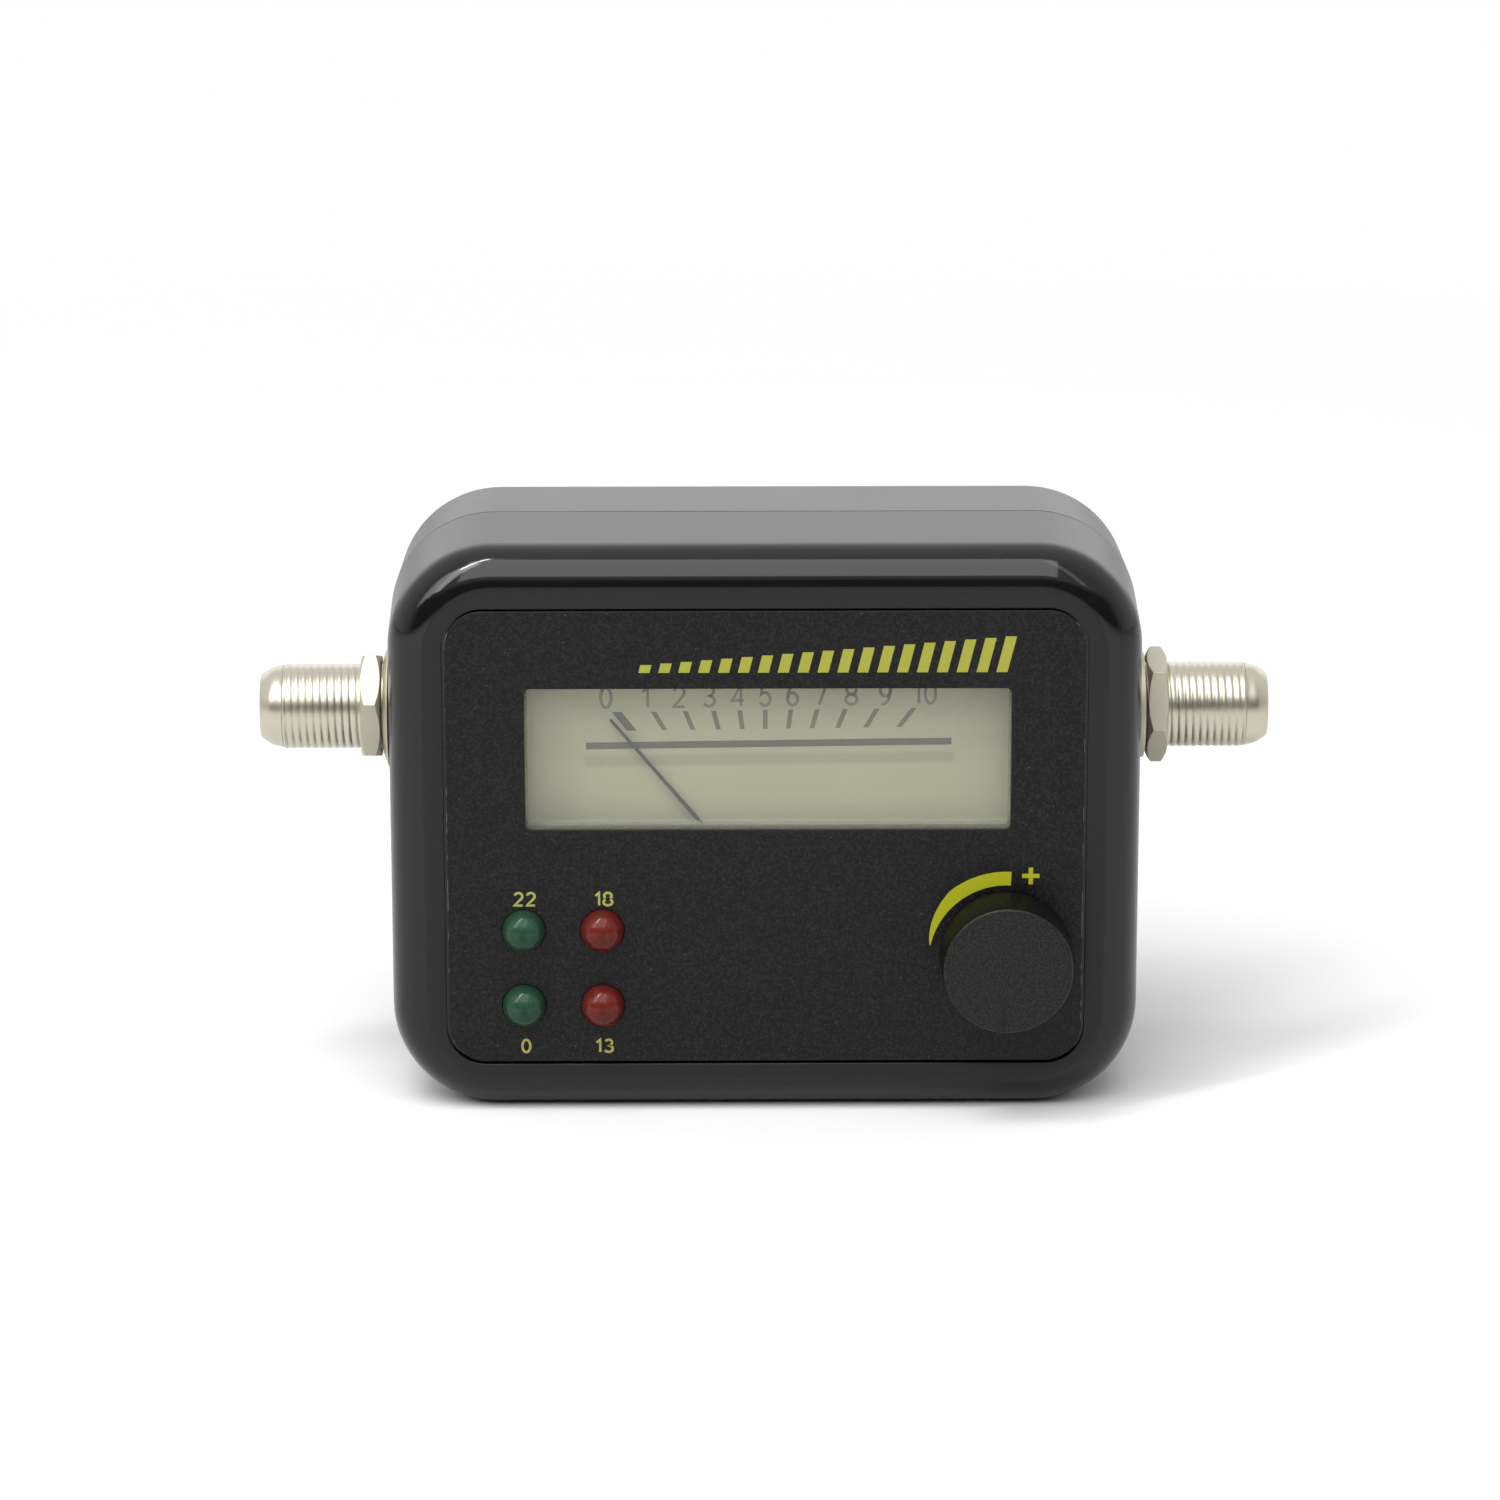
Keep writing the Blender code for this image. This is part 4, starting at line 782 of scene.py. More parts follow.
class CASE_OT_build(bpy.types.Operator):
    """Build the two smooth halves of the moulded case"""
    bl_idname = "signal_meter.build_case"
    bl_label = "Case"

    def execute(self, context):
        case = context.scene.meter_case
        material = case_plastic(case.tint)
        self.front_half(case, context.scene.meter_label, material)
        self.rear_half(case, material)
        return {"FINISHED"}

    def rings(self, case, way, face, edge, floor, floor_steps, lip_end, lip_inset, rim):
        """Rings of one half: the inside from its floor, the seam, and the outside to its face."""
        seam_land = 0.2 * mm
        wall_land = 0.3 * mm
        face_land = 0.25 * mm
        rings = fillet(case, floor, case.wall, edge - case.wall, way, floor_steps)[::-1]
        rings += [
            case_ring(case, lip_end, case.wall),
            case_ring(case, lip_end, lip_inset),
            case_ring(case, rim, lip_inset),
        ]
        rings += fillet(case, rim, 0.0, case.seam_edge, -way, rounding_steps)[::-1]
        rings += [
            case_ring(case, rim - way * (case.seam_edge + seam_land), 0.0),
            case_ring(case, face + way * (edge + wall_land), 0.0),
        ]
        rings += fillet(case, face, 0.0, edge, way, edge_steps)
        rings.append(case_ring(case, face, edge + face_land))
        return rings

    def front_half(self, case, label, material):
        lip_length = 1.2 * mm
        lip_inset = 1.2 * mm
        collar_near, collar_far = 2.0 * mm, 5.0 * mm
        boss = [(2.2 * mm, 3.4 * mm), (17.0 * mm, 3.2 * mm)]
        collar = [
            (collar_near, lamp_hole), (collar_far, lamp_hole), (collar_far, lamp_collar),
            (collar_near, lamp_collar),
        ]
        rings = self.rings(
            case, 1, 0.0, case.front_edge, recess_depth + front_wall, 6, seam_depth + lip_length,
            lip_inset, seam_depth + seam_shift,
        )
        rings += [
            label_ring(label, depth, recess_margin + margin)
            for margin, depth in rounding(recess_edge, rounding_steps)
        ]
        rings.append(label_ring(label, recess_depth, recess_margin))
        shell = loft(rings, "front_half")
        open_panel(shell, lamp_hole, panel_back)
        self.notches(shell)
        parts = [shell]
        parts += [loft(turn_rings(boss, x, z, 32)) for x, z in boss_places()]
        parts += [loft(turn_rings(collar, x, z, 48), closed=True) for x, z in lamp_places()]
        keep(merged(parts, "case_front"), "case_front", material, nodes=["front_shell"])

    def rear_half(self, case, material):
        rebate_depth = 1.5 * mm
        rebate_inset = 0.9 * mm
        head_seat = case_depth - 4.0 * mm
        tube_start, tube_end = 18.0 * mm, case_depth - 1.0 * mm
        screw_hole = 1.7 * mm
        tube = softened(
            [(tube_start, screw_hole), (tube_start, 4.0 * mm), (tube_end, 4.2 * mm),
             (tube_end, head_bore), (head_seat, head_bore), (head_seat, screw_hole)], 0.1 * mm,
        )
        rings = self.rings(
            case, -1, case_depth, case.rear_edge, case_depth - rear_wall, 4,
            seam_depth + rebate_depth, rebate_inset, seam_depth + seam_shift + case.seam_gap,
        )
        shell = loft(rings, "rear_half")
        drill(shell, boss_places(), head_bore, case_depth + overrun, head_seat)
        self.notches(shell)
        parts = [shell]
        parts += [loft(turn_rings(tube, x, z, 48), closed=True) for x, z in boss_places()]
        keep(merged(parts, "case_rear"), "case_rear", material, nodes=["rear_shell"])

    def notches(self, shell):
        """Cut both round notches for the sockets."""
        reach = case_half + overrun
        carve(shell, side_rings([(-reach, socket_notch), (reach, socket_notch)]))


class SCREWS_OT_build(bpy.types.Operator):
    """Build the case screws with their cross recesses"""
    bl_idname = "signal_meter.build_screws"
    bl_label = "Case screws"

    def execute(self, context):
        material = metal("screw_steel", (0.50, 0.50, 0.51), 0.28)
        tip_radius, tip_length = 0.3 * mm, 1.4 * mm
        shank_radius = 1.45 * mm
        head_radius, head_height, head_rim = 2.8 * mm, 1.8 * mm, 0.5 * mm
        crown_radius = 0.9 * mm
        slot_half_length, slot_half_width, slot_depth = 1.5 * mm, 0.27 * mm, 0.9 * mm
        for number, (x, z) in enumerate(boss_places(), 1):
            node = f"case_screw_{number}"
            low, high = panel_box(node)
            seat = high.y - head_height
            profile = [
                (low.y, tip_radius), (low.y + tip_length, shank_radius), (seat, shank_radius),
                (seat, head_radius),
            ]
            profile += [
                (seat + head_rim + (head_height - head_rim) * sin(turn),
                 crown_radius + (head_radius - crown_radius) * cos(turn))
                for turn in quarter(8)
            ]
            screw = loft(turn_rings(softened(profile, 0.12 * mm), x, z, 48), node)
            half_sizes = (slot_half_length, slot_half_width)
            for across, up in (half_sizes, half_sizes[::-1]):
                carve(screw, box_rings(
                    x - across, x + across, high.y - slot_depth, high.y + overrun, z - up, z + up,
                ))
            keep(screw, f"screw_case_{number}", material, nodes=[node])
        return {"FINISHED"}


# Label and its print

def arc(x, z, across, up, start, end, steps=14):
    """Part of an ellipse, from one angle in degrees to another."""
    angles = [radians(start + (end - start) * step / steps) for step in range(steps + 1)]
    return [(x + across * cos(angle), z + up * sin(angle)) for angle in angles]


def oval(x, z, across, up):
    return arc(x, z, across, up, 90, 450, 28)


# Middle lines of plain digits, one unit high and about 0.6 wide
digit_strokes = {
    "0": [oval(0.3, 0.5, 0.27, 0.5)],
    "1": [[(0.06, 0.76), (0.3, 1.0), (0.3, 0.0)]],
    "2": [arc(0.3, 0.72, 0.26, 0.28, 165, -38) + [(0.03, 0.0), (0.58, 0.0)]],
    "3": [arc(0.28, 0.76, 0.23, 0.24, 155, -90) + arc(0.28, 0.26, 0.28, 0.26, 80, -155)],
    "4": [[(0.45, 0.0), (0.45, 1.0), (0.0, 0.28), (0.6, 0.28)]],
    "5": [[(0.54, 1.0), (0.14, 1.0), (0.08, 0.55)] + arc(0.28, 0.32, 0.28, 0.32, 125, -150)],
    "6": [oval(0.3, 0.31, 0.26, 0.31), arc(0.44, 0.35, 0.40, 0.65, 185, 80)],
    "7": [[(0.02, 1.0), (0.58, 1.0), (0.2, 0.0)]],
    "8": [oval(0.3, 0.75, 0.25, 0.25), oval(0.3, 0.25, 0.30, 0.25)],
}
digit_strokes["9"] = [[(0.6 - x, 1 - z) for x, z in stroke] for stroke in digit_strokes["6"]]
digit_width = 0.6
narrow_digit_width = 0.36
digit_spacing = 0.24


def ribbon(line, weight, near, far):
    """Rings of a flat band of even width along a line of (x, z) points."""
    points = [Vector(point) for point in line]
    closed = (points[0] - points[-1]).length < weight / 50
    if closed:
        points.pop()
    rings = []
    for number, point in enumerate(points):
        ways = []
        if number or closed:
            ways.append((point - points[number - 1]).normalized())
        if number + 1 < len(points) or closed:
            ways.append((points[(number + 1) % len(points)] - point).normalized())
        way = (ways[0] + ways[-1]).normalized()
        side = Vector((-way.y, way.x)) * weight / 2 / max(0.5, way.dot(ways[0]))
        left, right = point + side, point - side
        ring = ((left, near), (right, near), (right, far), (left, far))
        rings.append([(corner.x, depth, corner.y) for corner, depth in ring])
    return rings, closed


def lettering(shape, text, centre_x, bottom, height, weight, near, far, stretch):
    """Add plain digits, centred on a place and standing on a height."""
    rise = height - weight
    widths = [narrow_digit_width if digit == "1" else digit_width for digit in text]
    start = -(sum(widths) + digit_spacing * (len(text) - 1)) / 2
    for digit, width in zip(text, widths):
        for stroke in digit_strokes[digit]:
            line = [
                (centre_x + (start + x) * rise * stretch, bottom + weight / 2 + z * rise)
                for x, z in stroke
            ]
            skin(shape, *ribbon(line, weight, near, far))
        start += width + digit_spacing


class LABEL_OT_build(bpy.types.Operator):
    """Build the printed film, its captions, level bars and gain mark"""
    bl_idname = "signal_meter.build_label"
    bl_label = "Label"

    def execute(self, context):
        label = context.scene.meter_label
        face = panel_box("front_label")[0].y
        edge = label.edge
        film_hole = 2.46 * mm
        rings = [label_ring(label, recess_depth - 0.02 * mm, 0.0)]
        rings += [
            label_ring(label, face + behind, -inward) for behind, inward in rounding(edge, 4)
        ]
        rings.append(label_ring(label, face, -edge - 0.15 * mm))
        film = loft(rings, "film")
        open_panel(film, film_hole, label_back)
        two_finishes(film, label_film(label.film), film_edge(), 0.97)
        keep(film, "label_film", None, nodes=["front_label"])
        near, far = face - 0.015 * mm, face + 0.02 * mm
        self.level_bars(label, near, far)
        self.captions(label, near, far)
        self.gain_mark(print_ink("yellow_ink", label.ink), near, far)
        return {"FINISHED"}

    def level_bars(self, label, near, far):
        """Row of slanted bars that grow to the right."""
        left, right = -13.7 * mm, 27.1 * mm
        bottom, top = 18.7 * mm, 22.7 * mm
        first_share = 0.22
        width_share = 0.56
        slant = tan(radians(14))
        pitch = (right - left) / label.bars
        width = pitch * width_share
        bars = []
        for number in range(label.bars):
            growth = first_share + (1 - first_share) * number / (label.bars - 1)
            height = (top - bottom) * growth
            start = left + number * pitch
            shift = height * slant
            bars.append(slab(
                [(start + width + shift, bottom + height), (start + shift, bottom + height),
                 (start, bottom), (start + width, bottom)], near, far,
            ))
        ink = print_ink("level_bar_ink", label.bar_ink)
        keep(pieces(bars, "level_bars"), "print_level_bars", ink)

    def captions(self, label, near, far):
        """Numbers over the upper lamps and under the lower ones."""
        height, weight, stretch = 1.7 * mm, 0.27 * mm, 1.12
        shift = 0.15 * mm
        foot = {"upper": 2.78 * mm, "lower": -5.52 * mm}
        shape = bmesh.new()
        for (node, _), text in zip(lamp_nodes(), ("22", "18", "0", "13")):
            x, z = panel_middle(node)
            bottom = z + foot[node.split("_")[2]]
            lettering(shape, text, x + shift, bottom, height, weight, near, far, stretch)
        ink = print_ink("caption_ink", label.caption_ink)
        keep(mesh_object(shape, "captions"), "print_captions", ink)

    def gain_mark(self, ink, near, far):
        """Tapered arc over the knob, and a plus sign at its thick end."""
        x, z = knob_place()
        steps = 48
        start, end = 86.5, 173.5
        thickest = 1.55 * mm
        inner_radius, drift = 7.78 * mm, 0.5 * mm
        rings = []
        for step in range(steps + 1):
            done = step / steps
            angle = radians(start + (end - start) * done)
            thickness = thickest * min(1.0, (88.0 - 87.0 * done) / 44.0) ** 0.75
            inner = inner_radius + drift * done ** 2.5
            ring = [(inner, near), (inner + thickness, near), (inner + thickness, far), (inner, far)]
            rings.append([
                (x + radius * cos(angle), depth, z + radius * sin(angle)) for radius, depth in ring
            ])
        keep(loft(rings, "gain_arc"), "print_gain_arc", ink)
        centre_x, centre_z = 28.95 * mm, -4.35 * mm
        arm, half = 0.95 * mm, 0.24 * mm
        outline = []
        corner = [(half, arm), (-half, arm), (-half, half)]
        for _ in range(4):
            outline += [(centre_x + dx, centre_z + dz) for dx, dz in corner]
            corner = [(-dz, dx) for dx, dz in corner]
        keep(loft(slab(outline, near, far), "plus"), "print_plus", ink)


# Meter window

class DIAL_OT_build(bpy.types.Operator):
    """Build the clear cover and the dial's print, and finish the scale plate and needle"""
    bl_idname = "signal_meter.build_dial"
    bl_label = "Dial"

    def execute(self, context):
        dial = context.scene.meter_dial
        dress(dial_card(dial.card), "dial_plate")
        dress(print_ink("needle_paint", (0.020, 0.020, 0.014)), "needle")
        self.cover()
        self.scale(dial)
        return {"FINISHED"}

    def cover(self):
        """Clear plate in the window on three milky walls, and its flange behind the panel."""
        gap, thick = 0.03 * mm, 0.25 * mm
        plate_near, plate_far = 0.5 * mm, 1.2 * mm
        wall_far = 2.7 * mm
        flange_near, flange_far = 2.75 * mm, 3.6 * mm
        flange_corner = 1.2 * mm
        flange_bottom, body_top = -3.0 * mm, -3.2 * mm
        body_left, body_right = -9.1 * mm, 9.7 * mm
        clear = clear_cover()
        plate = loft(slab(window_outline(gap, 0.55 * mm), plate_near, plate_far), "cover_plate")
        keep(plate, "cover_plate", clear, nodes=["meter_lens"])
        left, right = window_low.x, window_high.x
        bottom, top = window_low.z, window_high.z
        walls = [
            box_rings(left + gap, right - gap, plate_far, wall_far, bottom + gap, bottom + thick),
            box_rings(left + gap, left + thick, plate_far, wall_far, bottom + thick, top - gap),
            box_rings(right - thick, right - gap, plate_far, wall_far, bottom + thick, top - gap),
        ]
        keep(pieces(walls, "cover_walls"), "cover_walls", frosted_wall())
        low, high = panel_box("meter_lens")
        rim = rounded_outline(low.x, high.x, flange_bottom, high.z, flange_corner)
        flange = loft(slab(rim, flange_near, flange_far), "flange")
        carve(flange, slab(
            window_outline(thick, 0.4 * mm), flange_near - overrun, flange_far + overrun,
        ))
        body = rounded_outline(body_left, body_right, low.z, body_top, flange_corner)
        lower = loft(slab(body, flange_near, flange_far), "flange_lower")
        keep(merged([flange, lower], "cover_flange"), "cover_flange", clear)

    def scale(self, dial):
        """Marks, bar and numbers, which rise a little to the right."""
        face = panel_box("dial_plate")[0].y
        near, far = face - 0.02 * mm, face + 0.02 * mm
        pivot_x, pivot_z = 0.05 * mm, -8.2 * mm
        mark_top, mark_foot = 13.05 * mm, 10.93 * mm
        # The first mark is drawn wider than the rest: the mark with the needle's painted shadow beside it
        first_mark_and_shadow_half, mark_half = 0.42 * mm, 0.25 * mm
        bar_left, bar_right = -19.53 * mm, 20.38 * mm
        bar_top, bar_foot = 9.64 * mm, 8.87 * mm
        numeral_middle, numeral_foot = 14.6 * mm, 13.4 * mm
        height, weight, stretch = 2.6 * mm, 0.33 * mm, 0.92
        marks = []
        numerals = bmesh.new()
        for number in range(dial.marks + 1):
            angle = dial.sweep * (number / dial.marks - 0.5)
            half = (mark_half if number else first_mark_and_shadow_half) / cos(angle)
            corners = []
            for rise, sign in ((mark_top, 1), (mark_top, -1), (mark_foot, -1), (mark_foot, 1)):
                x = pivot_x + (rise - pivot_z) * tan(angle) + sign * half
                corners.append((x, rise + x * scale_tilt))
            marks.append(slab(corners, near, far))
            x = pivot_x + (numeral_middle - pivot_z) * tan(angle)
            foot = numeral_foot + x * scale_tilt
            lettering(numerals, str(number), x, foot, height, weight, near, far, stretch)
        bar_corners = (
            (bar_right, bar_top), (bar_left, bar_top), (bar_left, bar_foot), (bar_right, bar_foot),
        )
        bar = slab([(x, rise + x * scale_tilt) for x, rise in bar_corners], near, far)
        # The first mark, with the needle's painted shadow, is printed in the bar's dark ink
        first = marks.pop(0)
        prints = (
            ("marks", pieces(marks, "marks"), "dial_mark_ink", dial.mark_ink),
            ("bar", pieces([first, bar], "bar"), "dial_bar_ink", dial.bar),
            ("numerals", mesh_object(numerals, "numerals"), "dial_ink", dial.ink),
        )
        for name, item, ink, tint in prints:
            keep(item, f"print_{name}", print_ink(ink, tint))


# Lamps

class LAMPS_OT_build(bpy.types.Operator):
    """Build the four signal lamps"""
    bl_idname = "signal_meter.build_lamps"
    bl_label = "Lamps"

    def execute(self, context):
        lamps = context.scene.meter_lamps
        lead_tin = metal("lead_tin", (0.62, 0.61, 0.58), 0.35)
        radius, point = 2.4 * mm, 0.01 * mm
        flange_radius = 2.9 * mm
        flange_near, flange_far = 5.3 * mm, 6.3 * mm
        lead_near, lead_half, lead_shift = 6.2 * mm, 0.25 * mm, 1.27 * mm
        for node, hue in lamp_nodes():
            x, z = panel_middle(node)
            tint = lamps.green if hue == "green" else lamps.red
            resin = lamp_resin(f"{node}_resin", tint, x, panel_z + z)
            low, high = panel_box(node)
            profile = [
                (low.y + depth, max(radius - inward, point)) for inward, depth in rounding(radius, 20)
            ]
            profile += [
                (flange_near, radius), (flange_near, flange_radius), (flange_far, flange_radius),
            ]
            name = f"lamp_{node.removeprefix('signal_lamp_')}"
            keep(loft(turn_rings(profile, x, z), node), name, resin, nodes=[node])
            leads = [
                box_rings(centre - lead_half, centre + lead_half, lead_near, high.y,
                          z - lead_half, z + lead_half)
                for centre in (x - lead_shift, x + lead_shift)
            ]
            keep(pieces(leads, "leads"), f"{name}_leads", lead_tin)
        return {"FINISHED"}


# Knob

class KNOB_OT_build(bpy.types.Operator):
    """Build the gain knob"""
    bl_idname = "signal_meter.build_knob"
    bl_label = "Knob"

    def execute(self, context):
        knob = context.scene.meter_knob
        x, z = knob_place()
        low, high = panel_box("gain_knob")
        face_radius, base_radius = 7.08 * mm, 7.2 * mm
        wall, face_land, middle = 1.2 * mm, 0.3 * mm, 0.05 * mm
        hub_radius, bore_radius = 4.3 * mm, 3.1 * mm
        inside = low.y + 1.6 * mm
        hub_end = high.y - 1.2 * mm
        profile = [(low.y, middle), (low.y, face_radius - knob.rim - face_land)]
        profile += [
            (low.y + behind, face_radius - inward) for behind, inward in rounding(knob.rim, 8)[::-1]
        ]
        profile += [
            (high.y, base_radius), (high.y, base_radius - wall), (inside, face_radius - wall),
            (inside, hub_radius), (hub_end, hub_radius), (hub_end, bore_radius),
            (inside, bore_radius), (inside, middle),
        ]
        item = loft(turn_rings(profile, x, z, 128), "knob")
        groove_x = x - 0.45 * mm
        groove_top, groove_foot, groove_depth = z - 2.9 * mm, z - 8.0 * mm, 0.12 * mm
        half = knob.index_width / 2
        carve(item, box_rings(
            groove_x - half, groove_x + half, low.y - overrun, low.y + groove_depth, groove_foot,
            groove_top,
        ))
        face = knob_plastic("knob_face", knob.tint, 1.35)
        # Painted shade: the knob's side takes a copy of the knob's finish at half its colour, because it
        # lies in shade
        side = knob_plastic("knob_side_painted_shade", scaled(knob.tint, 0.5), 1.24)
        two_finishes(item, face, side, 0.3)
        keep(item, "knob_gain", None, "knob", ["gain_knob"])
        return {"FINISHED"}


# Sockets

class SOCKETS_OT_build(bpy.types.Operator):
    """Build the threaded sockets with their nuts, washers and insulators, and finish their contacts"""
    bl_idname = "signal_meter.build_sockets"
    bl_label = "Sockets"

    def execute(self, context):
        sockets = context.scene.meter_sockets
        nickel = metal("nickel_plate", sockets.plating, 0.25, 0.0004 * mm)
        satin = metal("nickel_nut_plate", scaled(sockets.plating, 1.02), 0.50, 0.001 * mm)
        white = moulding("white_polymer", (0.80, 0.79, 0.74), 0.4)
        brass = metal("contact_brass", (0.72, 0.56, 0.28), 0.25)
        for side, name in ((-1, "left"), (1, "right")):
            self.barrel(sockets, side, name, nickel)
            self.washer(side, name, satin)
            self.nut(side, name, satin)
            self.insulator(side, name, white)
            dress(brass, f"connector_contact_{name}")
        return {"FINISHED"}

    def keep(self, item, kind, name, material, slot="nickel"):
        """Keep a socket's piece in place of the node of its kind."""
        keep(item, f"socket_{kind}_{name}", material, nodes=[f"connector_{kind}_{name}"])

    def barrel(self, sockets, side, name, material):
        """Barrel whose thread is one right-handed helix."""
        depth, z = socket_line()
        end = side_reach(f"connector_barrel_{name}")[1]
        bore, stem_radius, core_radius = 2.8 * mm, 4.4 * mm, 4.5 * mm
        crest_radius, run_out = 4.7 * mm, 0.15 * mm
        stem_start, core_start, thread_start = 32.1 * mm, 38.0 * mm, 41.2 * mm
        thread_end = end - 2.5 * mm
        fade_length = 0.25 * sockets.pitch
        samples = int((thread_end - thread_start) / (sockets.pitch / 14))
        profile = [
            (stem_start, bore, 0), (stem_start, stem_radius, 0), (core_start, stem_radius, 0),
            (core_start, core_radius, 0), (thread_start, core_radius, 0),
        ]
        for step in range(samples + 1):
            x = thread_start + (thread_end - thread_start) * step / samples
            fade = min(1.0, (thread_end - x) / fade_length, (x - thread_start) / fade_length)
            profile.append((x, crest_radius - run_out * (1 - fade), fade))
        tip = softened(
            [(thread_end + 0.001 * mm, 4.6 * mm), (thread_end + 0.3 * mm, 4.5 * mm),
             (end - 1.3 * mm, 4.34 * mm), (end, 3.5 * mm), (end, 2.95 * mm), (end - 0.15 * mm, bore)],
            0.55 * mm, 6,
        )
        profile += [(x, radius, 0) for x, radius in tip]
        steps = 72
        rings = []
        for x, radius, fade in profile:
            ring = []
            for step, (back, up) in enumerate(circle(steps)):
                phase = (side * x / sockets.pitch - step / steps) % 1.0
                dip = min(1.0, max(0.0, (abs(2 * phase - 1) - 0.25) / 0.7))
                reach = radius - fade * sockets.thread_depth * dip
                ring.append((side * x, depth + reach * back, z + reach * up))
            rings.append(ring)
        self.keep(loft(rings, "barrel", closed=True), "barrel", name, material)

    def washer(self, side, name, material):
        node = f"connector_washer_{name}"
        low, high = panel_box(node)
        start, end = side_reach(node)
        bore, lip = 4.95 * mm, 0.12 * mm
        outer = (high.z - low.z) / 2
        top = 5.6 * mm if side < 0 else outer
        profile = softened(
            [(start, bore), (start, outer), (start + lip, outer), (end, top), (end, bore)], 0.1 * mm,
        )
        item = loft(side_rings(profile, side, 96), "washer", closed=True)
        self.keep(item, "washer", name, material)

    def nut(self, side, name, material):
        """Hexagon with both faces chamfered by a cone."""
        depth, z = socket_line()
        start, end = side_reach(f"connector_nut_{name}")
        flat, bore, face_margin = 11.1 * mm / 2, 4.72 * mm, 0.05 * mm
        corner = flat / cos(pi / 6)
        turn = radians(44 if side < 0 else 12)
        angles = [turn + pi / 3 * step for step in range(6)]
        hexagon = [
            [(side * x, depth + corner * cos(angle), z + corner * sin(angle)) for angle in angles]
            for x in (start, end)
        ]
        nut = loft(hexagon, "nut")
        slope = 1 / tan(radians(30))
        middle = (start + end) / 2
        face_radius = flat - face_margin
        outside = face_radius - overrun * slope * 0.5
        cone = [
            (start - overrun, outside), (start, face_radius), (middle, flat + (middle - start) * slope),
            (end, face_radius), (end + overrun, outside),
        ]
        carve(nut, side_rings(cone, side, 96), "INTERSECT")
        carve(nut, side_rings([(start - overrun, bore), (end + overrun, bore)], side, 72))
        bevel = nut.modifiers.new("edges", "BEVEL")
        bevel.width = 0.08 * mm
        bevel.segments = 2
        bevel.limit_method = "ANGLE"
        bevel.angle_limit = radians(25)
        self.keep(nut, "nut", name, material)

    def insulator(self, side, name, material):
        start, end = side_reach(f"connector_insulator_{name}")
        outer, bore, mouth, mouth_depth = 2.75 * mm, 1.1 * mm, 1.6 * mm, 0.6 * mm
        profile = softened(
            [(start, bore), (start, outer), (end, outer), (end, mouth), (end - mouth_depth, bore)],
            0.1 * mm,
        )
        sleeve = loft(side_rings(profile, side), "sleeve", closed=True)
        self.keep(sleeve, "insulator", name, material, "insulator")


class INNER_OT_dress(bpy.types.Operator):
    """Give every piece inside the case its finish"""
    bl_idname = "signal_meter.dress_inner"
    bl_label = "Inner pieces"

    def execute(self, context):
        dress(moulding("meter_moulding", (0.74, 0.74, 0.69), 0.4), "meter_case")
        dress(winding((0.60, 0.26, 0.10)), "moving_coil")
        steel = metal("turned_steel", (0.55, 0.55, 0.56), 0.25)
        dress(steel, "front_pivot_staff", "rear_pivot_staff", "pot_shaft")
        dress(steel, *[f"board_screw_{number}" for number in (1, 2, 3, 4)])
        dress(metal("soft_iron", (0.42, 0.42, 0.43), 0.4), "flux_ring")
        dress(metal("magnet_metal", (0.20, 0.20, 0.21), 0.45), "core_magnet", "signal_choke")
        brass = metal("stamped_brass", (0.70, 0.52, 0.22), 0.28)
        dress(brass, "front_bridge", "rear_bridge", "front_hairspring", "rear_hairspring")
        dress(brass, "meter_pin_left", "meter_pin_right", "pot_wiper")
        dress(brass, *[f"pot_terminal_{number}" for number in (1, 2, 3)])
        dress(moulding("blue_moulding", (0.02, 0.06, 0.25), 0.35), "pot_body")
        dress(moulding("blue_sleeve", (0.018, 0.045, 0.19), 0.25), "small_capacitor", "large_capacitor")
        dress(metal("bushing_nickel", (0.66, 0.64, 0.57), 0.25), "pot_bushing")
        dress(moulding("carbon_track", (0.018, 0.018, 0.018), 0.6), "pot_track")
        dress(moulding("chip_resin", (0.02, 0.02, 0.021), 0.5), "amplifier_chip", "voltage_regulator")
        dress(laminate((0.08, 0.20, 0.06)), "circuit_board")
        return {"FINISHED"}


# Stage

# Left and right end of each lit pane of the window wall, and its level beside the widest
window_panes = (
    (-0.43, 0.33, 1.0), (0.36, 0.48, 0.55), (-0.63, -0.45, 2.3), (-0.79, -0.66, 1.3),
    (-0.90, -0.82, 1.0), (-1.02, -0.93, 0.8), (-1.20, -1.06, 0.6),
)


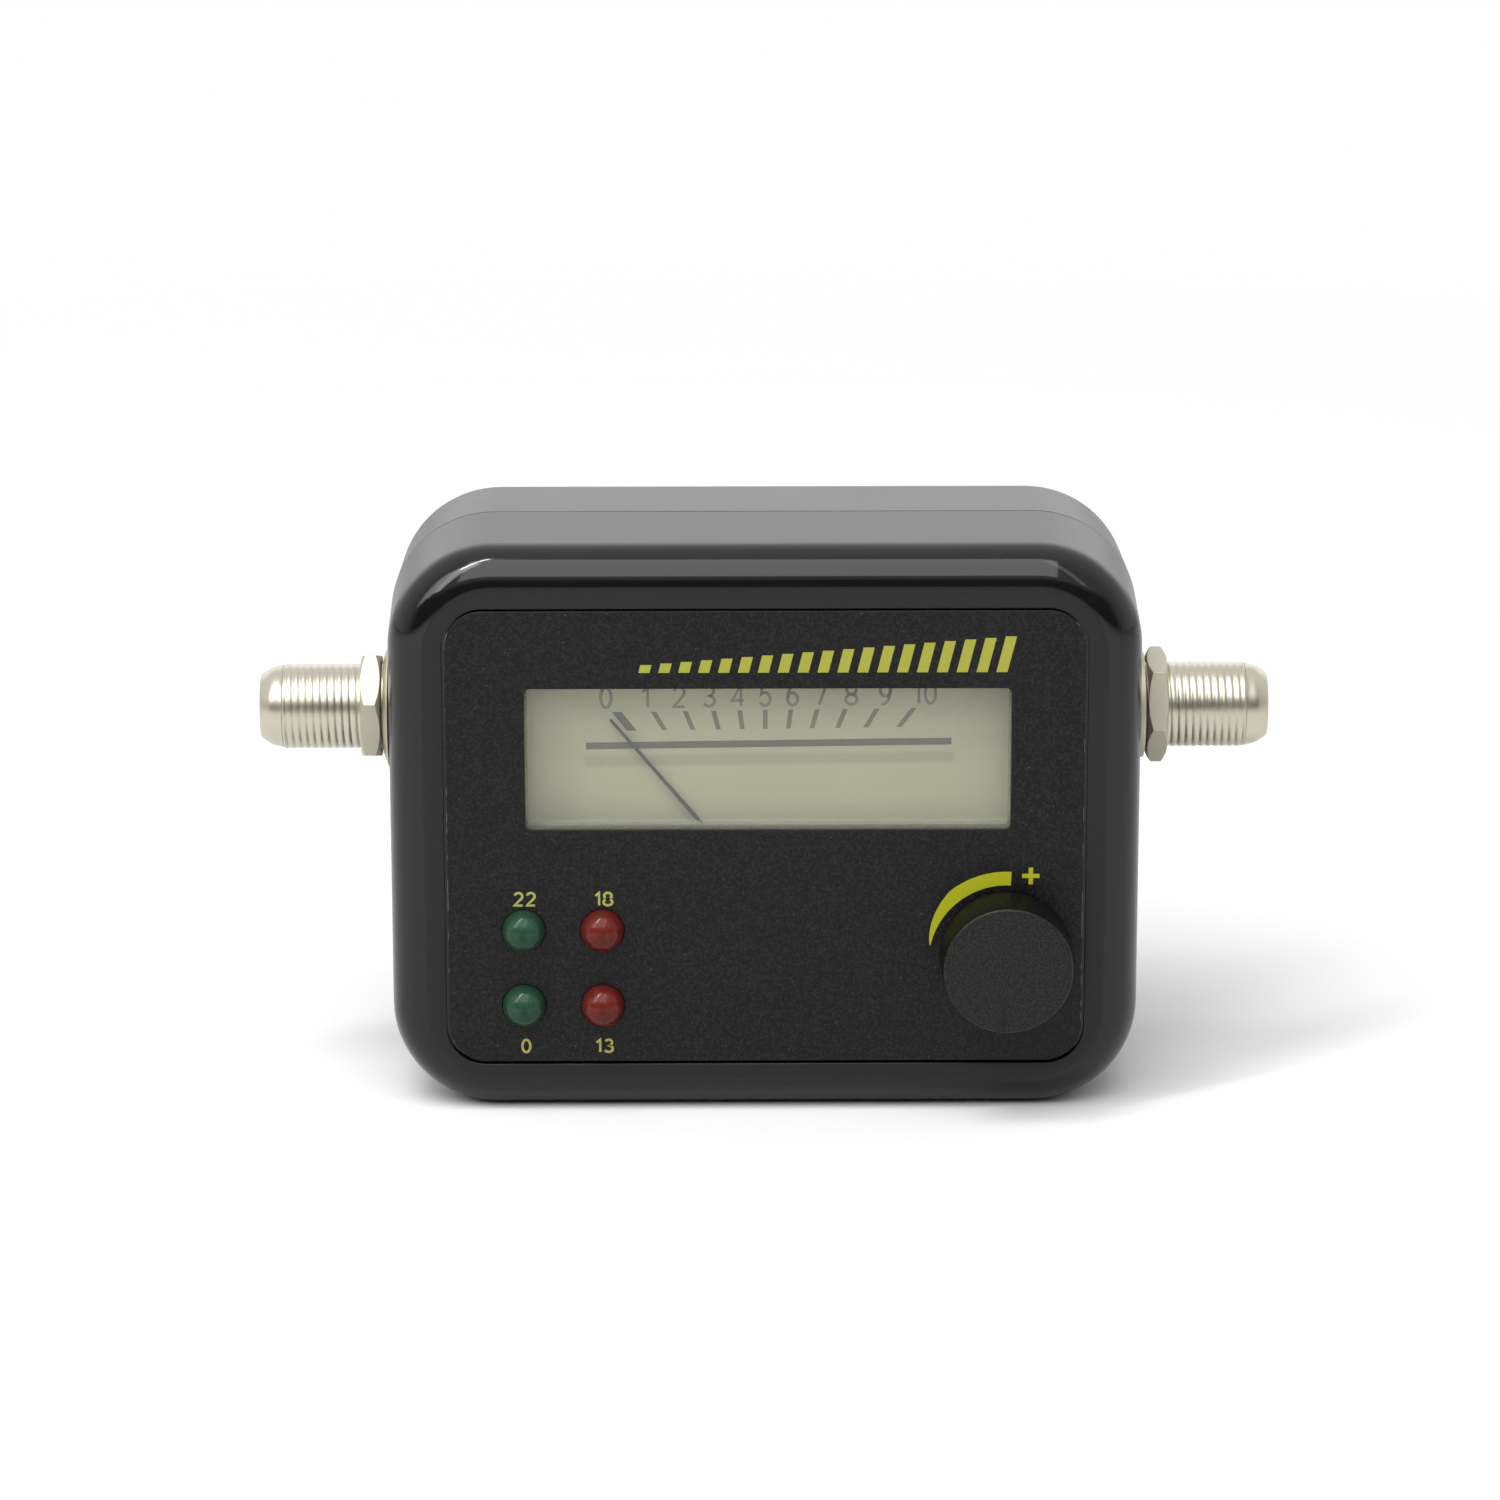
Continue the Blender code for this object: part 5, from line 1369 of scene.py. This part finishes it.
class STAGE_OT_build(bpy.types.Operator):
    """Build the floor, lights, surround and camera"""
    bl_idname = "signal_meter.build_stage"
    bl_label = "Stage"

    def execute(self, context):
        stage = context.scene.meter_stage
        scene = context.scene
        scene.view_settings.view_transform = "Standard"
        self.floor(stage)
        wall_y, wall_z, wall_height = -0.53, 0.88, 0.9
        full_width = 1.6
        for number, (left, right, level) in enumerate(window_panes):
            width = right - left
            power = stage.softbox_power * level * width / full_width
            middle = ((left + right) / 2, wall_y, wall_z)
            self.lamp(f"pane_{number}", middle, (width, wall_height), power)
        self.lamp("strip", (-0.27, -0.21, 0.93), (0.03, 0.45), stage.strip_power)
        cool = (0.95, 0.96, 1.0)
        self.lamp("backlight", (0.0, 0.90, 0.34), (1.7, 0.5), stage.backlight_power, cool)
        self.surround(stage, scene)
        camera = bpy.data.cameras.new("camera")
        camera.sensor_width = 36.0
        camera.lens = 144.6696
        camera.clip_start = 0.01
        item = link("camera", camera)
        item.location = (-0.00515569, -0.64389408, 0.22263724)
        item.rotation_euler = (radians(73.8899942), radians(0.0480365), radians(-0.333874))
        scene.camera = item
        return {"FINISHED"}

    def floor(self, stage):
        """White floor that lights the object, and clears away for the camera far out."""
        reach = 4.0
        shape = bmesh.new()
        corners = ((-reach, -reach), (reach, -reach), (reach, reach), (-reach, reach))
        shape.faces.new([shape.verts.new((x, y, 0.0)) for x, y in corners])
        item = link("floor", meshed(shape, "floor"))
        finish = Finish("floor_paper", {"Specular IOR Level": 0.0, "Roughness": 1.0})
        seen = finish.light_ray("Is Camera Ray", "Is Glossy Ray", "Is Transmission Ray")
        finish.colour(finish.blended(seen, stage.floor, scaled(stage.floor, 1.45)))
        x, y, _ = finish.split(finish.place())
        distance = finish.maths("POWER", x * x + y * y, 0.5)
        far = finish.light_ray("Is Camera Ray") * distance.above(0.30, 0.30)
        clear = finish.node("ShaderNodeBsdfTransparent")
        paper = Value(finish, finish.shader.outputs["BSDF"])
        cover = finish.node("ShaderNodeMixShader", _0=far, _1=paper, _2=clear)
        output = finish.tree.nodes["Material Output"]
        finish.tree.links.new(cover.socket, output.inputs["Surface"])
        item.data.materials.append(finish.material)

    def lamp(self, name, location, size, power, tint=(1.0, 1.0, 1.0)):
        """Rectangular light that faces the middle of the meter."""
        target = Vector((0, 0, 0.03))
        light = bpy.data.lights.new(name, "AREA")
        light.shape = "RECTANGLE"
        light.size, light.size_y = size
        light.energy = power
        light.color = tint
        item = link(name, light)
        item.location = location
        item.rotation_euler = (target - Vector(location)).to_track_quat("-Z", "Y").to_euler()

    def surround(self, stage, scene):
        """White behind the object, and a room that is dark low down in front."""
        world = bpy.data.worlds.new("surround")
        scene.world = world
        world.use_nodes = True
        nodes = Nodes(world.node_tree)
        background = world.node_tree.nodes["Background"]
        background.inputs["Color"].default_value = (1.0, 1.0, 1.0, 1.0)
        _, y, z = nodes.split(nodes.node("ShaderNodeTexCoord", output="Generated"))
        dark = y.below(-0.45, 0.3) * z.below(0.40, 0.12)
        room = stage.surround * (1 - dark * 0.92)
        mirrored = nodes.light_ray("Is Glossy Ray", "Is Transmission Ray") * y.above(-0.1, 0.3)
        seen = nodes.clamped(nodes.light_ray("Is Camera Ray") + mirrored)
        level = room + seen * (1 - room)
        nodes.tree.links.new(level.socket, background.inputs["Strength"])


class METER_PT_pieces(bpy.types.Panel):
    """Buttons for every piece and for the stage"""
    bl_idname = "METER_PT_pieces"
    bl_label = "Signal meter"
    bl_space_type = "VIEW_3D"
    bl_region_type = "UI"
    bl_category = "Signal meter"

    def draw(self, context):
        for operator in operators:
            self.layout.operator(operator.bl_idname)


operators = (
    CASE_OT_build, SCREWS_OT_build, LABEL_OT_build, DIAL_OT_build, LAMPS_OT_build,
    KNOB_OT_build, SOCKETS_OT_build, INNER_OT_dress, STAGE_OT_build,
)
groups = {
    "meter_case": CaseSettings,
    "meter_label": LabelSettings,
    "meter_dial": DialSettings,
    "meter_lamps": LampSettings,
    "meter_knob": KnobSettings,
    "meter_sockets": SocketSettings,
    "meter_stage": StageSettings,
}


def register():
    for group in groups.values():
        bpy.utils.register_class(group)
    for name, group in groups.items():
        setattr(bpy.types.Scene, name, PointerProperty(type=group))
    for operator in operators:
        bpy.utils.register_class(operator)
    bpy.utils.register_class(METER_PT_pieces)


def unregister():
    bpy.utils.unregister_class(METER_PT_pieces)
    for operator in reversed(operators):
        bpy.utils.unregister_class(operator)
    for name, group in groups.items():
        delattr(bpy.types.Scene, name)
        bpy.utils.unregister_class(group)


def main():
    register()
    for operator in operators:
        family, action = operator.bl_idname.split(".")
        getattr(getattr(bpy.ops, family), action)()


if __name__ == "__main__":
    main()
